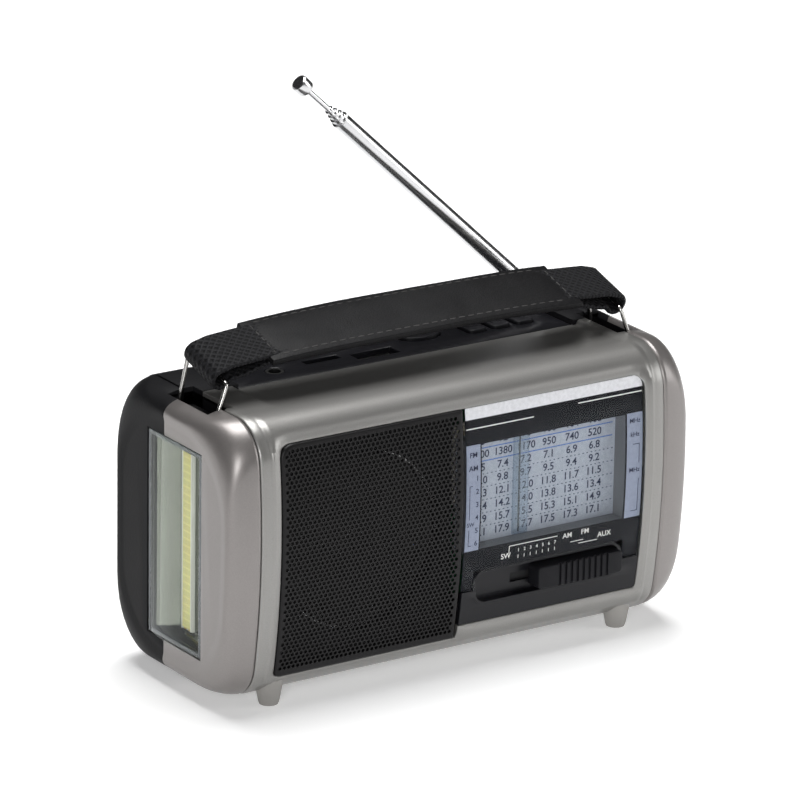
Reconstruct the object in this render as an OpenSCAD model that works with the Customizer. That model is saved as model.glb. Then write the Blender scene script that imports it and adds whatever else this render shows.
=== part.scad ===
// Emergency radio: portable receiver with dial, speaker, end lamp,
// strap handle and telescopic aerial. Millimetres.
// Origin under the feet at the middle of the case; +X right, +Y back, +Z up.
// The dial faces -Y and the lamp faces -X.

/* [Case] */
// Overall width across the two flat ends
case_w = 152; // [140:1:190]
// Overall depth at the crown of the front
case_d = 63; // [60:1:80]
// Height of the case without its feet
case_h = 80; // [78:1:100]
// Thickness of the moulded shells
wall = 2; // [1.6:0.1:2.4]
// Depth at which the silver front meets the black rear
split_y = 4; // [3:0.5:5]
// Length of each end cap
cap_len = 9.5; // [9:0.1:11]
// Radius of the front edges
front_r = 12; // [10:0.5:14]
// Radius of the rear edges
rear_r = 10; // [8:0.5:12]
// Radius of the bowed front
face_r = 220; // [180:5:400]
// Height of the crown of the bowed front above the case bottom
face_peak = 47; // [40:1:52]
// Corner radius of the flat end faces
end_r = 23; // [18:1:26]
// Height of the feet
foot_h = 3; // [2:0.5:6]
// Radius of the feet
foot_r = 4; // [3:0.5:5]

/* [Front] */
// Half width of the front opening
front_half_w = 60; // [56:0.5:62]
// Top of the front opening above the case bottom
front_top = 73.6; // [72:0.2:74]
// Bottom of the grille side of the opening above the case bottom
grille_low = 5.7; // [5:0.1:8]
// Bottom of the dial side of the opening above the case bottom
dial_low = 9.8; // [9:0.1:11]
// Thickness of the perforated grille
grille_t = 0.8; // [0.5:0.1:1.2]
// Radius of the speaker basket
speaker_r = 28.5; // [20:0.5:30]
// Depth of the sunken dial card behind the face
dial_sink = 6; // [5:0.5:7]
// Bottom and top of the dial window above the case bottom
window_z = [32, 62.6];
// Left and right of the sunken dial well
window_x = [5.5, 54];

/* [Controls] */
// Length of the band slider knob
slider_len = 28.5; // [24:0.5:32]
// Height of the band slider knob
slider_h = 6.4; // [5:0.2:7.4]
// Travel of the band slider
slider_travel = 18.5; // [12:0.5:19]
// Radius of the tuning thumbwheel
tuning_r = 18; // [16:0.5:18]
// Radius of the volume thumbwheel
volume_r = 14; // [12:0.5:14]
// Thickness of both thumbwheels
wheel_t = 5; // [4:0.5:6]
// Radius at which the dial cord runs on its drum
drum_r = 12; // [10:0.5:12]
// Running clearance of shafts in their holes
run_gap = 0.05; // [0.02:0.01:0.1]
// Clearance round buttons and sliders
slide_gap = 0.2; // [0.15:0.05:0.3]

/* [Lamp] */
// Width of the lamp lens
lamp_w = 27.8; // [20:0.2:30]
// Height of the lamp lens
lamp_h = 59.1; // [50:0.5:62]
// How far the lens bows out of the end
lamp_bow = 1.6; // [0.8:0.1:2.5]
// Depth of the reflector trough
lamp_depth = 4.6; // [3.5:0.1:5]

/* [Handle] */
// Diameter of the bail wire
wire_d = 1.2; // [1:0.1:1.6]
// Distance between the two legs of a bail
bail_w = 18.8; // [18:0.2:22]
// Height of the bail's bar above its pivot
bail_h = 12.2; // [10:0.2:16]
// Inward lean of each bail at its bar
bail_lean = 3.4; // [2:0.2:4]
// Forward tilt of the strap
strap_tilt = 16.5; // [10:0.5:20]
// Rise of the strap's middle above the bars
strap_rise = 5.1; // [4:0.2:8]
// Width of the padded sleeve
sleeve_w = 20; // [18:0.5:22]
// Length of the padded sleeve
sleeve_len = 102; // [90:1:108]

/* [Aerial] */
// Angle of the aerial above level as it stands
aerial_angle = 42.5; // [20:0.5:70]
// Length of the outer tube
aerial_len = 96; // [90:1:100]
// Outer radii of the four tubes and the rod, thickest first
aerial_r = [2.5, 2.05, 1.62, 1.22, 0.8];
// Wall of the aerial tubes
aerial_wall = 0.35; // [0.25:0.05:0.36]
// How far the rod stands out of the nested tubes
rod_out = 10; // [4:0.5:14]

/* [Battery] */
// Diameter of the rechargeable cell
cell_d = 18.4; // [14:0.1:18.6]
// Length of the rechargeable cell
cell_len = 65; // [50:0.5:66]

/* [Hidden] */
$fn = 48;

half_w = case_w / 2;
half_d = case_d / 2;
z0 = foot_h;
z1 = foot_h + case_h;
seam_x = half_w - cap_len;
cap_round = cap_len + 2.5;      // length over which the end turns to its flat face
cap_draw_y = 4;                 // how much the flat face is smaller, each side
cap_draw_z = 5;
face_y = -half_d;               // crown of the bowed front
face_z = z0 + face_peak;
open_top = z0 + front_top;
fit = 0.1;                      // clearance of fixed panels in their openings
far = 400;

// ---- outline of the case in the Y-Z plane ----
function arc(cy, cz, r, a0, a1, n) =
    [for (i = [0 : n]) let (a = a0 + (a1 - a0) * i / n) [cy + r * cos(a), cz + r * sin(a)]];

// yf, yb front and back; zl, zh low and high; rf, rb edge radii; cut is an inset
function case_outline(yf, yb, zl, zh, rf, rb, cut, n) =
    let (cy = yf + face_r,
         top_z = zh - rf,
         low_z = zl + rf,
         top_y = cy - sqrt(pow(face_r - rf, 2) - pow(top_z - face_z, 2)),
         low_y = cy - sqrt(pow(face_r - rf, 2) - pow(low_z - face_z, 2)),
         top_a = asin((top_z - face_z) / (face_r - rf)),
         low_a = asin((face_z - low_z) / (face_r - rf)))
    concat(
        arc(yb - rb, zl + rb, rb - cut, -90, 0, n),
        arc(yb - rb, zh - rb, rb - cut, 0, 90, n),
        arc(top_y, top_z, rf - cut, 90, 180 - top_a, n),
        arc(cy, face_z, face_r - cut, 180 - top_a * 0.6, 180 + low_a * 0.6, 4),
        arc(low_y, low_z, rf - cut, 180 + low_a, 270, n));

module along_x(x_from, x_to) {
    translate([x_from, 0, 0]) rotate([90, 0, 90]) linear_extrude(x_to - x_from) children();
}

module box(a, b) {
    translate(a) cube(b - a);
}

module case_bar(x_from, x_to, cut, n = 10) {
    along_x(x_from, x_to)
        polygon(case_outline(face_y, half_d, z0, z1, front_r, rear_r, cut, n));
}

// 0 at the seam, 1 at the flat end: share of the draw that the cap has reached
function draw_at(u) = 1 - pow(1 - pow(u, 2.3), 1 / 2.3);

module cap_slice(u, cut) {
    e = draw_at(u);
    x = half_w - cap_round + cap_round * u - cut * (u == 1 ? 1 : 0);
    along_x(x - 0.02, x)
        polygon(case_outline(face_y + cap_draw_y * e, half_d - cap_draw_y * e,
            z0 + cap_draw_z * e, z1 - cap_draw_z * e, front_r + (end_r - front_r) * e,
            rear_r + (end_r - rear_r) * e, cut, 6));
}

module cap_solid(cut) {
    hull() for (u = [0.21, 0.45, 0.65, 0.8, 0.9, 0.96, 1]) cap_slice(u, cut);
}

module cap_shell() {
    difference() {
        intersection() {
            cap_solid(0);
            box([seam_x, -far, 0], [far, far, far]);
        }
        cap_solid(wall);
    }
}

// ---- handle wells, pivots and bails ----
bail_y = -1.2;                          // middle of the handle in depth
wire_r = wire_d / 2;
pivot_x = half_w - 7.6;
pivot_z = z1 - 3;
bar_x = pivot_x - bail_lean;
bar_z = pivot_z + bail_h;
leg_front = bail_y - bail_w / 2;
leg_back = bail_y + bail_w / 2;
well_gap = 0.8;                         // from a leg's axis to the wall of its well
well_x = [pivot_x - 4.9, pivot_x + 3.1];
well_y = [leg_front - well_gap, leg_back + well_gap];
well_floor = pivot_z - 2;
well_wall = 2;

module well_walls() {
    box([well_x[0] - 1.5, well_y[0] - well_wall, well_floor - 1.5],
        [well_x[1] + 1.5, well_y[1] + well_wall, z1]);
}

module well_cut() {
    box([well_x[0], well_y[0], well_floor], [well_x[1], well_y[1], z1 + 5]);
    translate([pivot_x, well_y[0] - well_wall - 1, pivot_z]) rotate([-90, 0, 0])
        cylinder(r = wire_r + run_gap, h = well_y[1] - well_y[0] + 2 * well_wall + 2);
}

// ---- sunken top and its panel ----
panel_z = z1 - 1.5;                     // surface of the black top panel
panel_t = 2;
panel_x = [-half_w + 24, half_w - 17];
panel_y = [split_y + 0.8, half_d - 8.2];
sink_front = -half_d + 12.3;

module top_sink() {
    along_x(panel_x[0] - 2, panel_x[1] + 1)
        polygon([[sink_front, z1], [split_y + 0.8, panel_z], [split_y + 0.8, z1 + 5],
                 [sink_front, z1 + 5]]);
}

// ---- screws that close the case ----
screw_at = [[-half_w + 13.5, z0 + 10], [-half_w + 13.5, z1 - 13.5], [45, z0 + 6.5],
            [-45, z1 - 13.5]];
screw_r = 1.5;
boss_r = 3;
screw_head_r = 2.8;
screw_seat = half_d - 17.5;             // depth at which the heads bear
screw_tip = -6;
boss_front = [-22, -22, -18, -18];

module y_rod(x, z, r, from, to) {
    translate([x, from, z]) rotate([-90, 0, 0]) cylinder(r = r, h = to - from);
}

module front_bosses() {
    for (i = [0 : 3]) y_rod(screw_at[i][0], screw_at[i][1], boss_r, boss_front[i], split_y);
}

module front_cabinet() {
    color("silver") difference() {
        union() {
            intersection() {
                difference() {
                    case_bar(-seam_x, seam_x, 0);
                    case_bar(-seam_x - 1, seam_x + 1, wall);
                }
                box([-seam_x, -far, 0], [seam_x, split_y, far]);
            }
            intersection() {
                case_bar(-seam_x, seam_x, 0);
                box([-seam_x, -far, 0], [seam_x, split_y, far]);
                union() {
                    well_walls();
                    mirror([1, 0, 0]) well_walls();
                    box([panel_x[0] - 4, sink_front, z1 - 4], [panel_x[1] + 3, split_y, z1]);
                    front_bosses();
                    for (i = [0, 2]) box([screw_at[i][0] - 0.8, boss_front[i], z0 + 0.5],
                        [screw_at[i][0] + 0.8, split_y, screw_at[i][1]]);
                    for (i = [1, 3]) box([screw_at[i][0] - 0.8, boss_front[i], screw_at[i][1]],
                        [screw_at[i][0] + 0.8, split_y, z1 - 1]);
                }
            }
        }
        box([-front_half_w, -far, z0 + grille_low], [0, face_y + 9, open_top]);
        box([-0.1, -far, z0 + dial_low], [front_half_w, face_y + 9, open_top]);
        well_cut();
        mirror([1, 0, 0]) well_cut();
        top_sink();
        for (p = screw_at) y_rod(p[0], p[1], screw_r, screw_tip - 1, split_y + 1);
    }
}

// ---- rear shell, battery bay and aerial groove ----
head_r = 2.9;                           // radius of the aerial's swivel head
aerial_y = half_d - 3.5;                // axis of the folded aerial
aerial_z = z1 - 5.5;
aerial_x = half_w - 7;
groove_y = aerial_y - head_r - 0.3;
groove_z = aerial_z - aerial_r[0] - 0.6;
groove_left = -half_w + 20;
cell_y = half_d - 6 - cell_d / 2;
bay_y = cell_y - cell_d / 2 - 0.3;
cell_z = z0 + 8 + cell_d / 2;
cell_x = [-cell_len / 2 - 8, cell_len / 2 - 8];
door_x = [cell_x[0] - 6, cell_x[1] + 6];
door_z = [z0 + 6, cell_z + cell_d / 2 + 4];
door_t = 2;

module groove_cut(from, to, grow) {
    box([from - grow, groove_y - grow, groove_z - grow], [to, half_d + 5, z1 + 5]);
}

module rear_cabinet() {
    color("dimgray") difference() {
        intersection() {
            case_bar(-seam_x, seam_x, 0);
            box([-seam_x, split_y, 0], [seam_x, far, far]);
            union() {
                difference() {
                    box([-seam_x, split_y, 0], [seam_x, far, far]);
                    case_bar(-seam_x - 1, seam_x + 1, wall);
                }
                well_walls();
                mirror([1, 0, 0]) well_walls();
                groove_cut(groove_left, far, wall);
                box([panel_x[0] - 2, split_y, panel_z - panel_t - 1.5],
                    [panel_x[1] + 2, panel_y[1] + 1.5, z1]);
                box([door_x[0] - 2, bay_y - wall, door_z[0] - 2],
                    [door_x[1] + 2, half_d - 1, door_z[1] + 2]);
                for (p = screw_at) y_rod(p[0], p[1], boss_r + 1, split_y, half_d - 1);
            }
        }
        groove_cut(groove_left, far, 0);
        box([panel_x[0] - fit, split_y - 1, panel_z - panel_t], [panel_x[1] + fit, panel_y[1] + fit, z1 + 5]);
        box([panel_x[0] + 1.5, split_y - 1, panel_z - panel_t - 3],
            [panel_x[1] - 1.5, panel_y[1] - 1.5, z1]);
        box([lamp_button_at[0] - lamp_button_half[0] - 1.5, lamp_button_at[1], panel_z - panel_t - 3],
            [lamp_button_at[0] + lamp_button_half[0] + 1.5, panel_y[1] + fit, z1]);
        box([door_x[0] + 1, bay_y, door_z[0] + 1], [door_x[1] - 1, half_d + 1, door_z[1] - 1]);
        box([door_x[0] - slide_gap, half_d - door_t, door_z[0] - slide_gap],
            [door_x[1] + slide_gap, half_d + 1, door_z[1] + slide_gap]);
        well_cut();
        mirror([1, 0, 0]) well_cut();
        for (p = screw_at) {
            y_rod(p[0], p[1], screw_r + 0.2, split_y - 1, half_d + 1);
            y_rod(p[0], p[1], screw_head_r + 0.2, screw_seat, half_d + 1);
        }
    }
}

// ---- end caps ----
lamp_z = z0 + 39.95;
lamp_y = -1.2;
lens_t = 1.6;
lamp_x = half_w - 0.8;                  // plane of the lens's own edge

module lamp_hole() {
    box([seam_x - 1, lamp_y - lamp_w / 2, lamp_z - lamp_h / 2],
        [half_w + 5, lamp_y + lamp_w / 2, lamp_z + lamp_h / 2]);
}

module cap_body(front) {
    difference() {
        intersection() {
            union() {
                cap_shell();
                intersection() {
                    cap_solid(0);
                    well_walls();
                }
            }
            box([seam_x, front ? -far : split_y, 0], [far, front ? split_y : far, far]);
        }
        well_cut();
    }
}

module left_end_trim() {
    color("silver") mirror([1, 0, 0]) difference() {
        cap_body(true);
        lamp_hole();
    }
}

module left_end_cap() {
    color("dimgray") mirror([1, 0, 0]) difference() {
        cap_body(false);
        lamp_hole();
    }
}

module right_end_trim() {
    color("silver") cap_body(true);
}

wheel_y = [split_y + 1, split_y + 1 + wheel_t];
tuning_x = half_w + 2 - tuning_r;
tuning_z = z0 + 54.3;
volume_x = half_w + 2 - volume_r;
volume_z = z0 + 21;

module wheel_slot(z, r, x) {
    reach = sqrt(r * r - pow(half_w - wall - x, 2)) + 1;
    box([half_w - 6, wheel_y[0] - 0.6, z - reach], [half_w + 5, wheel_y[1] + 0.6, z + reach]);
}

module right_end_cap() {
    color("dimgray") difference() {
        union() {
            cap_body(false);
            intersection() {
                cap_solid(0);
                box([seam_x, groove_y - wall, groove_z - wall], [far, far, far]);
            }
        }
        groove_cut(seam_x - 1, far, 0);
        wheel_slot(tuning_z, tuning_r, tuning_x);
        wheel_slot(volume_z, volume_r, volume_x);
        translate([aerial_x, aerial_y, groove_z - wall - 1]) cylinder(r = 2, h = 5);
    }
}

// ---- top panel with its sockets and buttons ----
usb_at = [-2.6, 11.7];
usb_hole = [13.6, 5.4];
card_at = [-18.5, 14.5];
card_hole = [11.4, 3];
jack_at = [-35, 12.6];
jack_r = 1.8;
button_size = [6, 8];
button_r = 1.6;
button_y = 16.2;
button_x = [32.8, 40.8, 48.8];
lamp_button_at = [16.5, 18.4];
lamp_button_half = [6.6, 4.2];
button_proud = 0.9;

module oval(a, b) {
    polygon([for (i = [0 : 39]) [a * cos(i * 9), b * sin(i * 9)]]);
}

module round_rect(w, h, r) {
    square([w - 2 * r, h], center = true);
    square([w, h - 2 * r], center = true);
    for (sx = [-1, 1]) for (sy = [-1, 1])
        translate([sx * (w / 2 - r), sy * (h / 2 - r)]) circle(r = r, $fn = 24);
}

module top_panel() {
    color("dimgray") translate([0, 0, panel_z - panel_t]) linear_extrude(panel_t) difference() {
        translate([panel_x[0], panel_y[0]])
            square([panel_x[1] - panel_x[0], panel_y[1] - panel_y[0]]);
        translate(usb_at) square(usb_hole, center = true);
        translate(card_at) square(card_hole, center = true);
        translate(jack_at) circle(r = jack_r + 0.9);
        for (x = button_x) translate([x, button_y])
            round_rect(button_size[0] + 2 * slide_gap, button_size[1] + 2 * slide_gap,
                button_r + slide_gap);
        translate(lamp_button_at)
            oval(lamp_button_half[0] + slide_gap, lamp_button_half[1] + slide_gap);
    }
}

switch_z = panel_z - 9;                 // top of the small switches

module push_button(x) {
    color("black") {
        translate([x, button_y, panel_z - panel_t - 0.5]) linear_extrude(panel_t + 0.5 + button_proud)
            round_rect(button_size[0], button_size[1], button_r);
        translate([x, button_y, panel_z - panel_t - 1.3]) linear_extrude(0.8)
            round_rect(button_size[0] + 1.2, button_size[1] + 1.4, button_r);
        translate([x, button_y, switch_z + 0.7])
            cylinder(r = 1.4, h = panel_z - panel_t - 1.3 - switch_z - 0.7);
    }
}

module previous_button() { push_button(button_x[0]); }
module play_button() { push_button(button_x[1]); }
module next_button() { push_button(button_x[2]); }

module lamp_button() {
    color("black") translate([lamp_button_at[0], lamp_button_at[1], 0]) {
        translate([0, 0, panel_z - panel_t - 0.5]) linear_extrude(panel_t + 0.5 + button_proud)
            oval(lamp_button_half[0], lamp_button_half[1]);
        translate([0, 0, panel_z - panel_t - 1.3]) linear_extrude(0.8)
            oval(lamp_button_half[0] + 0.8, lamp_button_half[1] + 0.6);
        translate([0, 0, switch_z + 0.7])
            cylinder(r = 1.4, h = panel_z - panel_t - 1.3 - switch_z - 0.7);
    }
}

button_board_z = switch_z - 5;

module button_switches() {
    color("gray") {
        box([8, wheel_y[1] + 1, button_board_z], [54, panel_y[1] - 1.9, button_board_z + 1.2]);
        for (p = [[button_x[0], button_y], [button_x[1], button_y], [button_x[2], button_y],
                  lamp_button_at])
            translate([p[0] - 2.5, p[1] - 2.5, button_board_z + 1.2]) {
                cube([5, 5, 2.6]);
                translate([2.5, 2.5, 2.6]) cylinder(r = 1.2, h = 1.2);
            }
    }
}

media_z = panel_z - 17;

module media_board() {
    color("darkgreen") box([-42, 6, media_z - 1.2], [6, 21, media_z]);
}

module usb_socket() {
    color("silver") difference() {
        translate([usb_at[0] - 6.6, usb_at[1] - 2.9, media_z]) cube([13.2, 5.8, panel_z - panel_t - media_z]);
        translate([usb_at[0] - 6.25, usb_at[1] - 2.55, media_z + 2]) cube([12.5, 5.1, 20]);
    }
    color("black") translate([usb_at[0] - 5.6, usb_at[1] + 0.5, media_z + 2]) cube([11.2, 1.8, 10.5]);
}

module card_socket() {
    color("silver") difference() {
        translate([card_at[0] - 6.4, card_at[1] - 1.3, media_z]) cube([12.8, 2.6, panel_z - panel_t - media_z]);
        translate([card_at[0] - 5.6, card_at[1] - 0.6, media_z + 1.5]) cube([11.2, 1.2, 20]);
    }
}

module audio_jack() {
    color("black") translate([jack_at[0], jack_at[1], 0]) difference() {
        union() {
            translate([-3.5, -3.5, media_z]) cube([7, 7, panel_z - panel_t - media_z]);
            translate([0, 0, panel_z - panel_t - 0.5]) cylinder(r = jack_r + 0.8, h = panel_t + 0.4);
        }
        translate([0, 0, media_z + 1.2]) cylinder(r = jack_r, h = 30);
    }
}

// ---- speaker ----
speaker_x = -front_half_w / 2;
speaker_z = z0 + 39.5;
baffle_y = face_y + 7;

module face_plate(x_from, x_to, z_from, z_to, depth, t) {
    intersection() {
        difference() {
            translate([x_from, face_y + face_r, face_z]) rotate([0, 90, 0])
                cylinder(r = face_r - depth, h = x_to - x_from, $fn = 360);
            translate([x_from - 1, face_y + face_r, face_z]) rotate([0, 90, 0])
                cylinder(r = face_r - depth - t, h = x_to - x_from + 2, $fn = 360);
        }
        box([x_from, face_y - 1, z_from], [x_to, 0, z_to]);
    }
}

module speaker_grille() {
    color("black") face_plate(-front_half_w + fit, -0.5, z0 + grille_low + fit, open_top - fit, 0.4, grille_t);
}

module speaker_baffle() {
    color("dimgray") difference() {
        box([-front_half_w - 2.5, baffle_y, z0 + grille_low + 1], [-1, baffle_y + 2, open_top]);
        y_rod(speaker_x, speaker_z, speaker_r - 3, baffle_y - 1, baffle_y + 3);
    }
}

module y_turn() {
    rotate([-90, 0, 0]) rotate_extrude($fn = 64) children();
}

basket_y = baffle_y + 2;

module speaker_basket() {
    color("gray") translate([speaker_x, basket_y, speaker_z]) y_turn()
        polygon([[speaker_r - 3.5, 0], [speaker_r, 0], [speaker_r, 1.2], [speaker_r - 3, 1.2],
                 [14, 9], [14, 10], [9, 10], [9, 9.2], [13.2, 9.2], [13.2, 8.6], [speaker_r - 3.5, 0.8]]);
}

module speaker_cone() {
    color("black") translate([speaker_x, basket_y, speaker_z]) y_turn()
        polygon([[0, 5.4], [6, 6], [speaker_r - 5, -0.4], [speaker_r - 4, 0], [speaker_r - 4, 0.6],
                 [speaker_r - 5, 0.4], [6.3, 6.8], [6.3, 9], [0, 9]]);
}

module speaker_magnet() {
    color("dimgray") y_rod(speaker_x, speaker_z, 15, basket_y + 10.1, basket_y + 17);
}

// ---- dial ----
dial_left = 0.3;
dial_right = front_half_w - fit;
lens_back = 1.6;
step_z = z0 + 20;                       // where the glossy lens stops beside the slider
recess_x = [5, 53.5];
recess_z = [z0 + 15.8, z0 + 24.5];
recess_depth = 3.6;

module dial_lens() {
    color("white", 0.4) difference() {
        face_plate(dial_left, dial_right, step_z, open_top - fit, 0.2, 1.2);
        box([recess_x[0] - 1, -far, 0], [recess_x[1] + 1, 0, recess_z[1] + 1]);
    }
}

module dial_mask() {
    color("black") difference() {
        face_plate(dial_left, dial_right, step_z, open_top - fit, 1.4, 0.2);
        box([recess_x[0] - 1, -far, 0], [recess_x[1] + 1, 0, recess_z[1] + 1]);
        box([window_x[0], -far, z0 + window_z[0]], [window_x[1], 0, z0 + window_z[1]]);
    }
}

card_y = face_y + dial_sink + 0.8;
pointer_slot = [card_y - 2.4, card_y];

module dial_frame() {
    color("dimgray") difference() {
        intersection() {
            box([dial_left + 0.6, face_y, z0 + window_z[0] - 1], [dial_right - 0.6, card_y, z0 + window_z[1] + 1]);
            translate([0, face_y + face_r, face_z]) rotate([0, 90, 0])
                cylinder(r = face_r - lens_back, h = 100, $fn = 360);
        }
        box([window_x[0], -far, z0 + window_z[0]], [window_x[1], 0, z0 + window_z[1]]);
        box([window_x[0], pointer_slot[0], z0 + window_z[1] - 1],
            [window_x[1], pointer_slot[1] + 1, z0 + window_z[1] + 2]);
    }
}

module dial_card() {
    color("aliceblue") box([dial_left + 0.6, card_y, z0 + window_z[0] - 1],
        [dial_right - 0.6, card_y + 0.8, z0 + window_z[1] + 1]);
}

cord_y = card_y + 2.8;
cord_r = 0.4;
cord_z = tuning_z + drum_r;
pointer_w = 5;
pointer_x = 21.5;
pointer_travel = [-12, 28];

module dial_pointer() {
    color("white") {
        box([pointer_x - pointer_w / 2, card_y - 1.6, z0 + window_z[0] + 0.4],
            [pointer_x + pointer_w / 2, card_y - 0.5, cord_z - 1.2]);
        box([pointer_x - pointer_w / 2, card_y - 1.6, cord_z - 2.3],
            [pointer_x + pointer_w / 2, cord_y - 0.6, cord_z - 1.2]);
        box([pointer_x - pointer_w / 2, cord_y - 0.7 - cord_r, cord_z - 1.2],
            [pointer_x + pointer_w / 2, cord_y + 0.9, cord_z - cord_r - 0.1]);
    }
}

pulley_x = 4;
pulley_r = 2.5;

module cord_path(grow) {
    r = pulley_r + grow;
    low = tuning_z - drum_r + pulley_r;
    high = cord_z - pulley_r;
    translate([tuning_x, tuning_z]) circle(r = drum_r + grow);
    translate([pulley_x, tuning_z - drum_r - grow]) square([tuning_x - pulley_x, 2 * (drum_r + grow)]);
    translate([pulley_x - r, low]) square([r + 1, high - low]);
    for (z = [low, high]) translate([pulley_x, z]) circle(r = r);
}

module dial_cord() {
    color("white") translate([0, cord_y + cord_r, 0]) rotate([90, 0, 0]) linear_extrude(2 * cord_r)
        difference() {
            cord_path(cord_r);
            cord_path(-cord_r);
        }
}

module cord_pulleys() {
    color("ivory") for (z = [tuning_z - drum_r + pulley_r, cord_z - pulley_r])
        difference() {
            y_rod(pulley_x, z, pulley_r - cord_r, cord_y - 1, cord_y + 1);
            y_rod(pulley_x, z, 0.8, cord_y - 2, cord_y + 2);
        }
}

shaft_r = 3;
board_y = [-8, -6.4];

module dial_drum() {
    color("ivory") difference() {
        y_rod(tuning_x, tuning_z, drum_r - cord_r - 0.05, cord_y - 1, cord_y + 1);
        y_rod(tuning_x, tuning_z, shaft_r, cord_y - 2, cord_y + 2);
    }
}

module tuning_shaft() {
    color("gold") y_rod(tuning_x, tuning_z, shaft_r, cord_y - 1, wheel_y[1]);
}

module thumbwheel(x, z, r, bore, ribs) {
    color("black") difference() {
        y_rod(x, z, r, wheel_y[0], wheel_y[1]);
        y_rod(x, z, bore, wheel_y[0] - 1, wheel_y[1] + 1);
        y_rod(x, z, r - 4, wheel_y[1] - 1.5, wheel_y[1] + 1);
        for (i = [0 : ribs - 1])
            translate([x, wheel_y[0] - 1, z]) rotate([0, i * 360 / ribs, 0])
                translate([r + 0.15, 0, 0]) rotate([-90, 0, 0]) cylinder(r = 0.6, h = wheel_t + 2, $fn = 16);
    }
}

module tuning_wheel() { thumbwheel(tuning_x, tuning_z, tuning_r, shaft_r, 60); }

module tuning_capacitor() {
    color("lightgray") difference() {
        box([tuning_x - 8, board_y[1], tuning_z - 8], [tuning_x + 8, wheel_y[0] - 0.5, tuning_z + 8]);
        y_rod(tuning_x, tuning_z, shaft_r + run_gap, board_y[1] - 1, board_y[1] + 13);
    }
}

module volume_wheel() {
    thumbwheel(volume_x, volume_z, volume_r, 2, 48);
    color("black") y_rod(volume_x, volume_z, 2, board_y[1] + 4, wheel_y[1]);
}

module volume_control() {
    color("gray") difference() {
        y_rod(volume_x, volume_z, 8, board_y[1], wheel_y[0] - 1);
        y_rod(volume_x, volume_z, 2 + run_gap, board_y[1] + 3.5, wheel_y[0]);
    }
}

module main_board() {
    color("darkgreen") difference() {
        box([4, board_y[0], z0 + 10.5], [seam_x - 1.5, board_y[1], z1 - 9.5]);
        y_rod(tuning_x, tuning_z, shaft_r + 0.4, board_y[0] - 1, board_y[1] + 1);
    }
}

// ---- lower panel, band slider and its switch ----
slider_x = recess_x[1] - 0.5 - slider_len;
slider_z = z0 + 20.1;
slider_proud = 0.9;
recess_floor = face_y + 1.6 + recess_depth;
stem_x = slider_x + slider_len / 2;
switch_front = board_y[0] - 5;

module lower_panel() {
    color("black") difference() {
        union() {
            face_plate(dial_left, dial_right, z0 + dial_low + fit, step_z - 0.2, 0.6, 1.4);
            box([recess_x[0] - 0.9, face_y + 1.9, recess_z[0] - 1.4],
                [recess_x[1] + 0.9, recess_floor + 1.2, recess_z[1] + 0.9]);
        }
        box([recess_x[0], -far, recess_z[0]], [recess_x[1], recess_floor, recess_z[1]]);
        box([stem_x - slider_travel - 2, -far, slider_z - 1.4], [stem_x + 2, 0, slider_z + 1.4]);
    }
}

module band_slider() {
    color("black") {
        difference() {
            box([slider_x, face_y + 0.9 - slider_proud, slider_z - slider_h / 2],
                [slider_x + slider_len, recess_floor - 0.2, slider_z + slider_h / 2]);
            for (i = [0 : 8])
                box([slider_x + 7.4 + i * 2, face_y - 5, slider_z - slider_h / 2 - 1],
                    [slider_x + 8.1 + i * 2, face_y + 0.8, slider_z + slider_h / 2 + 1]);
        }
        box([stem_x - 1.5, recess_floor - 0.2, slider_z - 1], [stem_x + 1.5, switch_front + 2, slider_z + 1]);
    }
}

module band_switch() {
    color("silver") difference() {
        box([stem_x - slider_travel - 6, switch_front, slider_z - 4], [stem_x + 6, board_y[0], slider_z + 4]);
        box([stem_x - slider_travel - 2, switch_front - 1, slider_z - 1.4], [stem_x + 2, switch_front + 3, slider_z + 1.4]);
    }
}

// ---- aerial rod for medium wave ----
module ferrite_rod() {
    color("dimgray") translate([-58, 15, z0 + 50]) rotate([0, 90, 0]) cylinder(r = 4, h = 70);
}

module ferrite_coil() {
    color("peru") translate([-30, 15, z0 + 50]) rotate([0, 90, 0]) difference() {
        cylinder(r = 5.4, h = 26);
        translate([0, 0, -1]) cylinder(r = 4, h = 28);
    }
}

// ---- battery ----
module battery_cell() {
    color("royalblue") translate([cell_x[0], cell_y, cell_z]) rotate([0, 90, 0])
        cylinder(r = cell_d / 2, h = cell_len);
}

module battery_contacts() {
    color("gold") for (x = [door_x[0] + 1.2, door_x[1] - 1.8])
        box([x, cell_y - 5, cell_z - 5], [x + 0.6, cell_y + 5, cell_z + 5]);
}

module battery_door() {
    color("dimgray") box([door_x[0], half_d - door_t, door_z[0]], [door_x[1], half_d, door_z[1]]);
}

// ---- lamp ----
module lamp_lens() {
    bow_r = (pow(lamp_w / 2, 2) + lamp_bow * lamp_bow) / (2 * lamp_bow);
    axis_x = -lamp_x - lamp_bow + bow_r;
    color("white", 0.4) intersection() {
        difference() {
            translate([axis_x, lamp_y, lamp_z - lamp_h / 2 + fit])
                cylinder(r = bow_r, h = lamp_h - 2 * fit, $fn = 240);
            translate([axis_x, lamp_y, lamp_z - lamp_h / 2 - 1])
                cylinder(r = bow_r - lens_t, h = lamp_h + 2, $fn = 240);
        }
        box([-lamp_x - 5, lamp_y - lamp_w / 2 + fit, 0], [-lamp_x + 1, lamp_y + lamp_w / 2 - fit, far]);
    }
}

strip_w = 4;
strip_h = 50.8;
reflector_x = -lamp_x + 1;

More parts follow.
